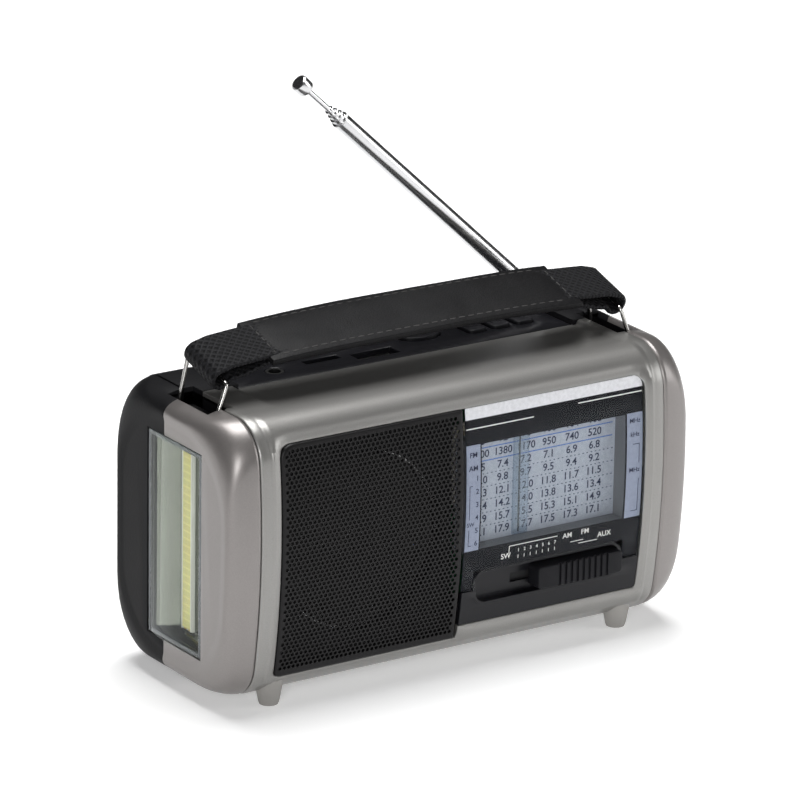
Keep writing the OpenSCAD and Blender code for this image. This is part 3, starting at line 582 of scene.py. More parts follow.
def rounded_outline(width: float, height: float, radius: float, steps: int = 5) -> list[Pair]:
    """Returns the points of a rounded rectangle about the origin, anticlockwise."""
    points = []
    for quarter, (sx, sy) in enumerate(((1, 1), (-1, 1), (-1, -1), (1, -1))):
        for i in range(steps + 1):
            turn = math.pi / 2 * (quarter + i / steps)
            points.append((sx * (width / 2 - radius) + radius * math.cos(turn),
                           sy * (height / 2 - radius) + radius * math.sin(turn)))
    return points


def oval(half_width: float, half_height: float, steps: int) -> list[Pair]:
    """Returns the points of an oval about the origin, anticlockwise."""
    turns = [math.tau * i / steps for i in range(steps)]
    return [(half_width * math.cos(t), half_height * math.sin(t)) for t in turns]


def pillar(points: Sequence[Pair], lift: Callable[[float, float], Vector], depth: Vector, radius: float = 0,
           segments: int = 2) -> Mesh:
    """Extrudes an outline.

    Args:
        points: the outline.
        lift: turns an outline point into a place.
        depth: how far and which way it is extruded.
        radius: rounding of the far rim.
        segments: steps of that rounding.

    Returns:
        The closed mesh.
    """
    bm = bmesh.new()
    base = bm.faces.new([bm.verts.new(lift(*p)) for p in points])
    out = bmesh.ops.extrude_face_region(bm, geom=[base], use_keep_orig=True)
    top = [g for g in out["geom"] if isinstance(g, Vert)]
    bmesh.ops.translate(bm, verts=top, vec=depth)
    outward(bm)
    if radius:
        moved = set(top)
        bevelled(bm, [e for e in bm.edges if e.verts[0] in moved and e.verts[1] in moved], radius, segments)
    return bm


def facing_back(place: Sequence[float]) -> Matrix:
    """Returns a frame at a place whose Z points to the back."""
    return Matrix.Translation(place) @ Matrix.Rotation(-math.pi / 2, 4, "X")


def turned(profile: Sequence[Pair], place: Matrix, steps: int = 32) -> Mesh:
    """Spins a profile of (radius, height) points about Z and puts it in place.

    Args:
        profile: the half section, from the axis out and back.
        place: where the lathe's axis goes.
        steps: steps round the axis.

    Returns:
        The closed mesh.
    """
    bm = bmesh.new()
    verts = [bm.verts.new((r, 0, h)) for r, h in profile]
    edges = [bm.edges.new(pair) for pair in zip(verts, verts[1:])]
    bmesh.ops.spin(bm, geom=verts + edges, cent=(0, 0, 0), axis=(0, 0, 1), angle=math.tau, steps=steps,
                   use_merge=True)
    weld(bm, 0.001 * MM)
    outward(bm)
    bmesh.ops.transform(bm, matrix=place, verts=bm.verts)
    return bm


def wire(points: Sequence[Vector], radius: float, sides: int = 12) -> Mesh:
    """Returns round wire bent through points, with closed ends."""
    curve = bpy.data.curves.new("wire", "CURVE")
    curve.dimensions = "3D"
    curve.bevel_depth = radius
    curve.bevel_resolution = sides // 4
    curve.use_fill_caps = True
    line = curve.splines.new("POLY")
    line.points.add(len(points) - 1)
    for point, place in zip(line.points, points):
        point.co = (*place, 1)
    holder = bpy.data.objects.new("wire", curve)
    bm = bmesh.new()
    bm.from_mesh(bpy.data.meshes.new_from_object(holder))
    bpy.data.objects.remove(holder)
    weld(bm, 0.001 * MM)
    outward(bm)
    return bm


def joined(parts: Iterable[Mesh]) -> Mesh:
    """Puts several meshes into one; they are freed."""
    whole = bmesh.new()
    for part in parts:
        mesh = bpy.data.meshes.new("part")
        part.to_mesh(mesh)
        part.free()
        whole.from_mesh(mesh)
        bpy.data.meshes.remove(mesh)
    return whole


def eased(value: float, start: float, end: float) -> float:
    """Returns 0 before start, 1 after end, and a smooth step between."""
    t = min(1.0, max(0.0, (value - start) / (end - start)))
    return t * t * (3 - 2 * t)


def spaced(exact: Iterable[float], step: float) -> list[float]:
    """Returns the exact values in order, with others between them no further apart than a step."""
    marks = sorted(exact)
    values = [marks[0]]
    for a, b in zip(marks, marks[1:]):
        count = max(1, math.ceil((b - a) / step - 1e-6))
        values += [a + (b - a) * i / count for i in range(1, count + 1)]
    return values


def walled(bm: Mesh, wall: float, angle: float) -> tuple[Mesh, list[Edge]]:
    """Gives an open skin its wall thickness, inwards.

    Args:
        bm: the skin, facing outwards.
        wall: the thickness.
        angle: rim edges that turn by more than this are returned, in degrees.

    Returns:
        The closed mesh and the outer edges of its rims.
    """
    count = len(bm.verts)
    bm = applied(bm, "SOLIDIFY", thickness=wall, offset=-1)
    bm.verts.ensure_lookup_table()
    outer = set(bm.verts[:count])
    return bm, [e for e in sharp_edges(bm, angle) if set(e.verts) <= outer]


def welded_copy(node: str) -> Mesh:
    """Copies a frame node's mesh with its triangles joined."""
    bm = bmesh.new()
    bm.from_mesh(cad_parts[node].data)
    weld(bm, 0.002 * MM)
    return bm


def plain_copy(node: str) -> Mesh:
    """Copies a frame node's mesh with its flat faces merged."""
    bm = welded_copy(node)
    bmesh.ops.dissolve_limit(bm, angle_limit=math.radians(0.8), verts=bm.verts, edges=bm.edges)
    return bm


def copy_of(node: str, width: float, angle: float = 40, segments: int = 2, clamp: bool = False) -> Mesh:
    """Copies a frame node's mesh with its edges rounded.

    Args:
        node: the node's name.
        width: radius of the rounding.
        angle: edges that turn by more than this are rounded, in degrees.
        segments: steps of the rounding.
        clamp: whether the rounding stops where short edges would cross.

    Returns:
        The new mesh.
    """
    return applied(plain_copy(node), "BEVEL", width=width, segments=segments, limit_method="ANGLE",
                   angle_limit=math.radians(angle), use_clamp_overlap=clamp, profile=0.5)


def round_corner(bm: Mesh, corner: Pair, way: tuple[int, int], radius: float) -> None:
    """Draws a square corner in, seen from the front, until its outline is an arc.

    Args:
        bm: the mesh.
        corner: the corner's place as (x, z).
        way: the signs that point from the corner into the piece.
        radius: the arc's radius.
    """
    for v in bm.verts:
        a = radius - (v.co.x - corner[0]) * way[0]
        b = radius - (v.co.z - corner[1]) * way[1]
        if a > 0 and b > 0:
            share = 1 - max(a, b) / math.hypot(a, b)
            v.co.x += way[0] * a * share
            v.co.z += way[1] * b * share


def dress(node: str, finish: Finish) -> None:
    """Gives a frame node a finish and leaves its mesh alone."""
    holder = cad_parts[node]
    if not holder.material_slots:
        holder.data.materials.append(material(finish))
    for slot in holder.material_slots:
        slot.material = material(finish)
    log.info("%s: dressed as %s", node, finish.name)


# ---- case


class Side(Enum):
    """The two ends of the case."""

    LEFT = -1
    RIGHT = 1


@dataclass(frozen=True)
class CaseForm:
    """The outer form of the case, in the frame's own sizes."""

    half_w: float = box_of("right_end_trim")[1].x
    half_d: float = -box_of("front_cabinet")[0].y
    low: float = box_of("front_cabinet")[0].z
    high: float = box_of("front_cabinet")[1].z
    seam: float = box_of("front_cabinet")[1].x
    split: float = box_of("front_cabinet")[1].y
    wall: float = 2 * MM
    front_r: float = 12 * MM
    rear_r: float = 10 * MM
    end_r: float = 23 * MM
    face_r: float = 220 * MM
    crown: float = 47 * MM
    turn: float = 12 * MM
    draw_y: float = 4 * MM
    draw_z: float = 5 * MM
    arc_steps: int = 10
    top_marks: tuple[float, ...] = (-19.2 * MM, -15 * MM, -11.4 * MM, -6 * MM, -1.2 * MM, 4 * MM, 4.8 * MM,
                                    9 * MM, 15 * MM)

    def draw(self, share: float) -> float:
        """Returns how far the end has drawn in, from 0 at its root to 1 at the flat face."""
        return 1 - (1 - share ** 2.3) ** (1 / 2.3)

    def sizes(self, e: float) -> tuple[float, float, float, float, float, float]:
        """Returns front, back, bottom, top, front radius and rear radius at a draw."""
        return (-self.half_d + self.draw_y * e, self.half_d - self.draw_y * e, self.low + self.draw_z * e,
                self.high - self.draw_z * e, self.front_r + (self.end_r - self.front_r) * e,
                self.rear_r + (self.end_r - self.rear_r) * e)

    def arcs(self, e: float) -> tuple[tuple[float, float, float], tuple[float, float, float], Pair]:
        """Returns the low and high front arcs as (y, z, angle) and the face arc's centre."""
        front, _, low, high, radius, _ = self.sizes(e)
        middle = self.low + self.crown
        centre = front + self.face_r
        reach = self.face_r - radius
        ends = []
        for z in (low + radius, high - radius):
            rise = z - middle
            ends.append((centre - math.sqrt(reach ** 2 - rise ** 2), z, math.asin(rise / reach)))
        return ends[0], ends[1], (centre, middle)

    def face_y(self, z: float, depth: float = 0) -> float:
        """Returns the bowed face's depth at a height, some way below the surface."""
        rise = z - self.low - self.crown
        return -self.half_d + self.face_r - math.sqrt((self.face_r - depth) ** 2 - rise ** 2)

    def front_path(self, e: float, cut: float, heights: Sequence[float] = ()) -> list[Pair]:
        """Returns the front's points from the bottom up.

        Args:
            e: the draw.
            cut: how far under the surface.
            heights: heights that must have a point of their own.

        Returns:
            Points as (y, z).
        """
        (low_y, low_z, low_a), (top_y, top_z, top_a), (centre, middle) = self.arcs(e)
        radius = self.sizes(e)[4]
        low_turns = [math.pi / 2 - (math.pi / 2 + low_a) * i / self.arc_steps for i in range(self.arc_steps)]
        top_turns = [top_a + (math.pi / 2 - top_a) * (i + 1) / self.arc_steps for i in range(self.arc_steps)]
        low_h = [low_z - radius * math.sin(t) for t in low_turns]
        top_h = [top_z + radius * math.sin(t) for t in top_turns]
        rises = [low_a + (top_a - low_a) * i / 12 for i in range(13)]
        face_h = [middle + self.face_r * math.sin(t) for t in rises]
        regular = low_h + face_h + top_h
        near = 0.55 * MM
        ends = regular[0], regular[-1]
        kept = [h for h in regular if h in ends or all(abs(h - x) > near for x in heights)]
        points = []
        for z in sorted(kept + list(heights)):
            if z < face_h[0]:
                flat = math.sqrt(max(0.0, radius ** 2 - (low_z - z) ** 2)) / radius
                points.append((low_y - (radius - cut) * flat, low_z - (radius - cut) * (low_z - z) / radius))
            elif z > face_h[-1]:
                flat = math.sqrt(max(0.0, radius ** 2 - (z - top_z) ** 2)) / radius
                points.append((top_y - (radius - cut) * flat, top_z + (radius - cut) * (z - top_z) / radius))
            else:
                points.append((centre - math.sqrt((self.face_r - cut) ** 2 - (z - middle) ** 2), z))
        return points

    def top_line(self, e: float, cut: float) -> list[Pair]:
        """Returns the marks along the flat top, from the front arc to the rear arc."""
        _, back, _, high, _, rear = self.sizes(e)
        first, last = self.arcs(e)[1][0], back - rear
        step = 0.4 * MM
        count = len(self.top_marks)
        return [(min(max(y, first + step * (i + 1)), last - step * (count - i)), high - cut)
                for i, y in enumerate(self.top_marks)]

    def ring(self, e: float, cut: float) -> list[Pair]:
        """Returns the whole closed outline at a draw, as (y, z), starting under the front."""
        _, back, low, high, _, rear = self.sizes(e)
        steps = self.arc_steps
        far = [(back - rear + (rear - cut) * math.sin(math.pi / 2 * i / steps),
                high - rear + (rear - cut) * math.cos(math.pi / 2 * i / steps)) for i in range(steps + 1)]
        down = [(back - cut, high - rear + (low - high + 2 * rear) * i / 6) for i in range(1, 6)]
        under = [(back - rear + (rear - cut) * math.cos(math.pi / 2 * i / steps),
                  low + rear - (rear - cut) * math.sin(math.pi / 2 * i / steps)) for i in range(steps + 1)]
        start = self.arcs(e)[0][0]
        end = back - rear
        floor = [(end + (start - end) * i / 9, low + cut) for i in range(1, 9)]
        return self.front_path(e, cut) + self.top_line(e, cut) + far + down + under + floor


@dataclass
class FrontCabinet:
    """The silver front shell with its raised frame, rounded opening and sunken top."""

    form: CaseForm = CaseForm()
    left: float = -60 * MM
    right: float = 60 * MM
    top: float = 76.6 * MM
    grille_low: float = 8.7 * MM
    dial_low: float = 12.8 * MM
    radii: tuple[float, float, float, float] = (4 * MM, 4 * MM, 3 * MM, 1 * MM)
    frame_x: float = 62.3 * MM
    frame_z: float = 7.2 * MM
    frame_rise: float = 0.45 * MM
    slope: float = 2.2 * MM
    sink: float = 0.85 * MM
    sink_left: float = -54.4 * MM
    sink_right: float = 59.8 * MM
    sink_front: float = -19.2 * MM
    groove: float = 0.5 * MM

    def columns(self) -> list[float]:
        """Returns the places of the mesh's columns along X."""
        fine = 0.8 * MM
        marks = [0.0]
        for s in (-1, 1):
            marks += [s * self.form.seam, s * (self.form.seam - 0.4 * MM), s * (self.form.seam - 0.9 * MM),
                      s * 63.5 * MM, s * (self.frame_x + 0.5 * MM), s * self.frame_x, s * 61 * MM]
            marks += [s * (self.right - fine * i) for i in range(6)]
        marks += [self.sink_left, self.sink_left + 0.9 * MM, self.sink_left + 1.8 * MM]
        return spaced(marks, 2.6 * MM)

    def heights(self) -> list[float]:
        """Returns the heights that the opening and its rounded corners need."""
        fine = 0.8 * MM
        marks = [self.top - fine * i for i in range(6)] + [self.top + 1.1 * MM, self.top + self.slope]
        marks += [self.grille_low + fine * i for i in range(4)] + [self.grille_low - 0.7 * MM]
        marks += [self.dial_low + step * MM for step in (0, 0.55, 1.1, -1.0)]
        return marks

    def skin(self) -> Mesh:
        """Draws the front's section and extrudes it across the case."""
        form = self.form
        floor = [(form.split - (form.split - form.arcs(0)[0][0]) * i / 6, form.low) for i in range(6)]
        section = floor + form.front_path(0, 0, self.heights())
        section += [p for p in form.top_line(0, 0) if p[0] < form.split + 0.1 * MM]
        columns = self.columns()
        bm = bmesh.new()
        verts = [bm.verts.new((columns[0], y, z)) for y, z in section]
        edges = [bm.edges.new(pair) for pair in zip(verts, verts[1:])]
        for a, b in zip(columns, columns[1:]):
            fresh, edges = drawn_on(bm, edges)
            bmesh.ops.translate(bm, verts=fresh, vec=(b - a, 0, 0))
        outward(bm)
        if min(bm.faces, key=lambda f: middle_of(f).y).normal.y > 0:
            bmesh.ops.reverse_faces(bm, faces=bm.faces)
        return bm

    def inside(self, place: Vector) -> bool:
        """Says whether a place is in the front opening."""
        low = self.grille_low if place.x < 0 else self.dial_low
        within = self.left < place.x < self.right and low < place.z < self.top
        return within and place.y < -0.4 * self.form.half_d

    def round_corners(self, bm: Mesh) -> None:
        """Moves the opening's edge onto an arc at each corner."""
        corners = ((self.left, self.top, 1, -1), (self.right, self.top, -1, -1),
                   (self.left, self.grille_low, 1, 1), (self.right, self.dial_low, -1, 1))
        for radius, (x, z, sx, sz) in zip(self.radii, corners):
            for v in [v for v in bm.verts if v.is_boundary and v.co.y < -0.4 * self.form.half_d]:
                dx, dz = (v.co.x - x) * sx, (v.co.z - z) * sz
                if abs(min(dx, dz)) > 0.05 * MM or max(dx, dz) > radius * 0.98:
                    continue
                share = max(dx, dz) / radius
                turn = math.pi / 4 * (1 + share if dx > dz else 1 - share)
                moved_z = z + sz * radius * (1 - math.sin(turn))
                v.co.x = x + sx * radius * (1 - math.cos(turn))
                v.co.y += self.form.face_y(moved_z) - self.form.face_y(v.co.z)
                v.co.z = moved_z

    def away(self, x: float, z: float) -> float:
        """Returns how far a place is outside the rounded opening."""
        low, high = (self.grille_low if x < 0 else self.dial_low), z > 40 * MM
        radius = self.radii[(0 if x < 0 else 1) if high else (2 if x < 0 else 3)]
        a = max(abs(x) - self.right + radius, 0.0)
        b = max((z - self.top if high else low - z) + radius, 0.0)
        return max(0.0, (math.hypot(a, b) if a and b else max(a, b)) - radius)

    def shape(self, bm: Mesh) -> None:
        """Raises the frame round the opening, sinks the top and draws in the seams."""
        form = self.form
        bm.normal_update()
        for v in bm.verts:
            x, y, z = v.co
            rise = self.frame_rise * (1 - eased(abs(x), self.frame_x - 0.1 * MM, self.frame_x + 0.6 * MM))
            rise *= eased(z, self.frame_z - 0.1 * MM, self.frame_z + 0.9 * MM) * (1 - eased(y, -26 * MM,
                                                                                            -20 * MM))
            away = self.away(x, z)
            if away < self.slope and y < -0.4 * form.half_d:
                rise -= self.sink * (1 - away / self.slope)
            seam = eased(abs(x), form.seam - 1.0 * MM, form.seam)
            v.co += v.normal * (rise - self.groove * seam ** 2)
            if z > form.high - 0.1 * MM and y > self.sink_front - 0.1 * MM:
                inside = eased(x, self.sink_left, self.sink_left + 1.8 * MM)
                inside *= 1 - eased(x, self.sink_right, self.sink_right + 1.2 * MM)
                slope = (y - self.sink_front) / (form.split + 0.8 * MM - self.sink_front)
                v.co.z -= 1.5 * MM * max(0.0, slope) * inside
                if inside > 0.9 and y > form.split - 0.1 * MM:
                    v.co.y += 0.7 * MM

    def build(self) -> Piece:
        """Builds and dresses the front cabinet, and returns it."""
        bm = self.skin()
        well = [f for f in bm.faces if abs(middle_of(f).x) > 63.5 * MM
                and middle_of(f).z > 80 * MM and middle_of(f).y > -11.4 * MM]
        hole = [f for f in bm.faces if self.inside(middle_of(f))]
        bmesh.ops.delete(bm, geom=well + hole, context="FACES")
        self.round_corners(bm)
        self.shape(bm)
        bm, rim = walled(bm, self.form.wall, 50)
        bevelled(bm, rim, 0.3 * MM, 3)
        return place_piece(bm, "silver_front", SILVER, HOUSING, ["front_cabinet"], 40)


@dataclass
class EndCap:
    """One rounded end of the case, in a silver front half and a black rear half."""

    side: Side
    form: CaseForm = CaseForm()
    steps: int = 16
    well_x: float = 71.5 * MM
    well_y: Pair = (-11.4 * MM, 9 * MM)
    facet: float = 1.6 * MM
    facet_depth: float = 0.3 * MM
    lens_gap: float = 0.15 * MM
    wall: float = 1.6 * MM
    slots: tuple[Pair, ...] = ((13.2 * MM, 34.8 * MM), (45 * MM, 69.6 * MM))
    slot_y: Pair = (4.4 * MM, 10.6 * MM)

    def loops(self) -> list[tuple[float, list[Pair]]]:
        """Returns the outline loops from the seam to the flat face, as (x, points)."""
        form = self.form
        root = form.half_w - form.turn
        start = (form.seam - root) / form.turn
        places = []
        for i in range(self.steps + 1):
            turn = math.asin(start ** 1.15) + (math.pi / 2 - math.asin(start ** 1.15)) * i / self.steps
            places.append(math.sin(turn) ** (1 / 1.15))
        places = [u for u in places
                  if abs(root + form.turn * u - self.well_x) > 0.4 * MM and u > start + 0.06]
        places += [(self.well_x - root) / form.turn, start, start + 0.035, start + 0.075]
        found = []
        for u in sorted(places):
            x = root + form.turn * u
            cut = 0.5 * MM * (1 - eased(x, form.seam, form.seam + 1.0 * MM)) ** 2
            found.append((x, form.ring(form.draw(min(u, 1.0)), cut)))
        flat = form.half_w - self.facet_depth
        found.append((flat, form.ring(1, self.facet)))
        found.append((flat, form.ring(1, self.facet + 1.2 * MM)))
        return found

    def shell(self) -> Mesh:
        """Lofts the whole end, with its handle well and its openings, as an open skin on the right."""
        bm = bmesh.new()
        previous = None
        for x, points in self.loops():
            _, edges = ring_of(bm, ((x, y, z) for y, z in points))
            if previous:
                bmesh.ops.bridge_loops(bm, edges=previous + edges)
            previous = edges
        bmesh.ops.contextual_create(bm, geom=previous)
        bm.normal_update()
        if self.side is Side.LEFT:
            self.cut_lamp(bm)
        well = [f for f in bm.faces if middle_of(f).x < self.well_x
                and middle_of(f).z > 60 * MM
                and self.well_y[0] < middle_of(f).y < self.well_y[1]]
        bmesh.ops.delete(bm, geom=well, context="FACES")
        if self.side is Side.LEFT:
            bmesh.ops.scale(bm, vec=(-1, 1, 1), verts=bm.verts)
        weld(bm, 0.01 * MM)
        outward(bm)
        if max(bm.faces, key=lambda f: middle_of(f).z).normal.z < 0:
            bmesh.ops.reverse_faces(bm, faces=bm.faces)
        return bm

    def cut_lamp(self, bm: Mesh) -> None:
        """Opens the flat face for the lamp lens, with a gap all round."""
        low, high = box_of("lamp_lens")
        gap = Vector((1, 1, 1)) * self.lens_gap
        low, high = low - gap, high + gap
        self.cut_holes(bm, (low.y, high.y), ((low.z, high.z),))

    def cut_holes(self, bm: Mesh, across: Pair, heights: Sequence[Pair]) -> None:
        """Opens holes in the flat face, all between the same two depths."""
        for y in across:
            self.divide_flat(bm, Vector((0, y, 0)), Vector((0, 1, 0)))
        for z in (z for pair in heights for z in pair):
            self.divide_flat(bm, Vector((0, 0, z)), Vector((0, 0, 1)))
        holes = [f for f in self.flat_faces(bm) if across[0] < middle_of(f).y < across[1]
                 and any(a < middle_of(f).z < b for a, b in heights)]
        bmesh.ops.delete(bm, geom=holes, context="FACES")

    def flat_faces(self, bm: Mesh) -> list[bmesh.types.BMFace]:
        """Returns the faces of the flat end."""
        return [f for f in bm.faces if middle_of(f).x > self.form.half_w - self.facet_depth - 0.01 * MM
                and abs(f.normal.x) > 0.999]

    def divide_flat(self, bm: Mesh, place: Vector, way: Vector) -> None:
        """Divides the flat end's faces along one plane."""
        faces = self.flat_faces(bm)
        edges = {e for f in faces for e in f.edges}
        verts = {v for f in faces for v in f.verts}
        divide(bm, place, way, 0.001 * MM, faces + list(edges) + list(verts))

    def half(self, front: bool) -> Piece:
        """Builds and dresses one half, and returns it.

        Args:
            front: whether it is the silver front half.

        Returns:
            The piece.
        """
        bm = self.shell()
        divide(bm, (0, self.form.split, 0), (0, 1, 0), 0.001 * MM, clear_outer=front, clear_inner=not front)
        if self.side is Side.RIGHT and not front:
            self.cut_holes(bm, self.slot_y, self.slots)
        bm, rim = walled(bm, self.wall, 60)
        bevelled(bm, rim, 0.18 * MM, 2)
        word = self.side.name.lower()
        if front:
            return place_piece(bm, f"silver_{word}_end", SILVER_TRIM, HOUSING,
                               [f"{word}_end_trim"], 40)
        return place_piece(bm, f"black_{word}_end", BLACK_CASE, HOUSING, [f"{word}_end_cap"],
                           40)

    def well(self) -> Piece:
        """Builds the handle well's lining, and returns it."""
        low = Vector((63.5 * MM, self.well_y[0], 78 * MM))
        high = Vector((self.well_x, self.well_y[1], self.form.high + 2 * MM))
        body = block(low - Vector((1, 1, 1)) * 1.2 * MM, Vector((high.x + 1.2 * MM, high.y + 1.2 * MM,
                                                                 81.6 * MM)))
        bm = cut_with(body, block(low, high))
        bmesh.ops.scale(bm, vec=(self.side.value, 1, 1), verts=bm.verts)
        outward(bm)
        return place_piece(bm, f"{self.side.name.lower()}_handle_well", BLACK_CASE, HOUSING)

    def build(self) -> list[Piece]:
        """Builds both halves and the handle well."""
        return [self.half(True), self.half(False), self.well()]


@dataclass
class Back:
    """The black rear: cabinet, battery door, screws and feet."""

    rounding: float = 0.45 * MM
    ribs: int = 7

    def cabinet(self) -> Piece:
        """Builds the rear cabinet with its edges rounded."""
        return place_piece(copy_of("rear_cabinet", self.rounding, 60, clamp=True), "black_rear", BLACK_CASE,
                           HOUSING,
                           ["rear_cabinet"], 35)

    def door(self) -> Piece:
        """Builds the battery door with its thumb ribs."""
        low, high = box_of("battery_door")
        parts = [block(low, high, 0.35 * MM)]
        for i in range(self.ribs):
            x = high.x - (6 + 1.6 * i) * MM
            middle = (low.z + high.z) / 2
            parts.append(block((x - 0.4 * MM, high.y - 0.3 * MM, middle - 6 * MM),
                               (x + 0.4 * MM, high.y + 0.35 * MM, middle + 6 * MM), 0.15 * MM))
        return place_piece(joined(parts), "battery_cover", BLACK_CASE, "battery_door",
                           ["battery_door"])

    def fixings(self) -> list[Piece]:
        """Builds the feet and the case screws in the places of the frame's own."""
        bm = welded_copy("case_fixings")
        islands = self.islands(bm)
        bm.free()
        feet, screws = [], []
        for low, high in islands:
            middle = (low + high) / 2
            if low.z < 0.5 * MM:
                radius, rise = (high.x - low.x) / 2, high.z - low.z
                profile = [(0, 0), (radius * 0.66, 0), (radius * 0.74, 0.12 * rise), (radius, 0.86 * rise),
                           (radius, rise), (0, rise)]
                feet.append(turned(profile, Matrix.Translation((middle.x, middle.y, low.z)), 28))
            else:
                radius, length = (high.x - low.x) / 2, high.y - low.y
                profile = [(0, length), (radius * 0.9, length), (radius, length - 0.4 * MM),
                           (radius, length - 1.4 * MM), (radius * 0.5, length - 1.7 * MM),
                           (radius * 0.5, 0.8 * MM), (0, 0)]
                place = facing_back((middle.x, low.y, middle.z))
                screw = turned(profile, place, 24)
                for w, h in ((0.5, 2.6), (2.6, 0.5)):
                    slot = block((middle.x - w * MM / 2, high.y - 0.9 * MM, middle.z - h * MM / 2),
                                 (middle.x + w * MM / 2, high.y + 1 * MM, middle.z + h * MM / 2))
                    screw = cut_with(screw, slot)
                screws.append(screw)
        return [place_piece(joined(feet), "feet", FOOT_GREY, HOUSING, ["case_fixings"]),
                place_piece(joined(screws), "case_screws", STEEL, HOUSING)]

    def islands(self, bm: Mesh) -> list[tuple[Vector, Vector]]:
        """Returns the corners of each separate solid in a mesh."""
        seen: set[Vert] = set()
        boxes = []
        for start in bm.verts:
            if start in seen:
                continue
            group, queue = [], [start]
            seen.add(start)
            while queue:
                v = queue.pop()
                group.append(v.co.copy())
                for e in v.link_edges:
                    other = e.other_vert(v)
                    if other not in seen:
                        seen.add(other)
                        queue.append(other)
            boxes.append((Vector([min(c[i] for c in group) for i in range(3)]),
                          Vector([max(c[i] for c in group) for i in range(3)])))
        return boxes

    def build(self) -> list[Piece]:
        """Builds the rear cabinet, the battery door, the feet and the screws."""
        return [self.cabinet(), self.door(), *self.fixings()]


@dataclass
class Grille:
    """The perforated metal grille, a real sheet of staggered holes with a rolled rim."""

    form: CaseForm = CaseForm()
    pitch: float = 1.42 * MM
    hole: float = 0.50 * MM
    sheet: float = 0.45 * MM
    depth: float = 0.4 * MM
    rim: float = 1.1 * MM
    corner: float = 4 * MM

    def build(self) -> Piece:
        """Builds and dresses the grille, and returns it."""
        low, high = box_of("speaker_grille")
        left, right, base, top = low.x + self.rim, high.x - self.rim, low.z + self.rim, high.z - self.rim
        bm = bmesh.new()
        rise = self.pitch * math.sqrt(3) / 2
        cell = self.pitch / math.sqrt(3)
        for row in range(int((top - base) / rise) + 3):
            for column in range(int((right - left) / self.pitch) + 3):
                x = left + (column - 0.5 + 0.5 * (row % 2)) * self.pitch
                bmesh.ops.create_circle(bm, segments=6, radius=cell, cap_ends=True,
                                        matrix=Matrix.Translation((x, base + (row - 0.5) * rise, 0)))
        weld(bm, 0.02 * MM)
        for place, way in (((left, 0, 0), (-1, 0, 0)), ((right, 0, 0), (1, 0, 0)),
                           ((0, base, 0), (0, -1, 0)), ((0, top, 0), (0, 1, 0))):
            divide(bm, place, way, 0.01 * MM, clear_outer=True)
        hexagon = cell ** 2 * 2.598
        whole = [f for f in bm.faces if len(f.verts) == 6 and abs(f.calc_area() / hexagon - 1) < 0.02]
        bmesh.ops.inset_individual(bm, faces=whole, thickness=self.pitch / 2 - self.hole,
                                   use_even_offset=True)
        bmesh.ops.delete(bm, geom=whole, context="FACES")
        self.roll_rim(bm, left, right, base, top)
        for v in bm.verts:
            x, z, drop = v.co
            v.co = Vector((x, drop, z))
        round_corner(bm, (low.x, high.z), (1, -1), self.corner)
        round_corner(bm, (low.x, low.z), (1, 1), self.corner * 0.75)
        for v in bm.verts:
            v.co.y += self.form.face_y(v.co.z, self.depth)
        outward(bm)
        if sum(f.normal.y for f in bm.faces) > 0:
            bmesh.ops.reverse_faces(bm, faces=bm.faces)
        bm = applied(bm, "SOLIDIFY", thickness=self.sheet, offset=-1)
        return place_piece(bm, "perforated_grille", GRILLE_PAINT, HOUSING,
                           ["speaker_grille"], 40)

    def roll_rim(self, bm: Mesh, left: float, right: float, base: float, top: float) -> None:
        """Rolls the sheet's edge back all round, in three steps."""
        centre = Vector(((left + right) / 2, (base + top) / 2, 0))
        near = 0.02 * MM
        edges = [e for e in bm.edges if e.is_boundary and all(
            min(abs(v.co.x - left), abs(v.co.x - right), abs(v.co.y - base), abs(v.co.y - top)) < near
            for v in e.verts)]
        out = 0.0
        for step_out, step_back in ((0.45, 0.1), (0.35, 0.3), (0.2, 0.8)):
            fresh, edges = drawn_on(bm, edges)
            grow_x = ((right - left) / 2 + (out + step_out) * MM) / ((right - left) / 2 + out * MM)
            grow_z = ((top - base) / 2 + (out + step_out) * MM) / ((top - base) / 2 + out * MM)
            bmesh.ops.scale(bm, vec=(grow_x, grow_z, 1), space=Matrix.Translation(-centre), verts=fresh)
            bmesh.ops.translate(bm, verts=fresh, vec=(0, 0, step_back * MM))
            out += step_out


# ---- dial


class Align(Enum):
    """Which side of its place a printed word starts from."""

    LEFT = "LEFT"
    CENTRE = "CENTER"
    RIGHT = "RIGHT"


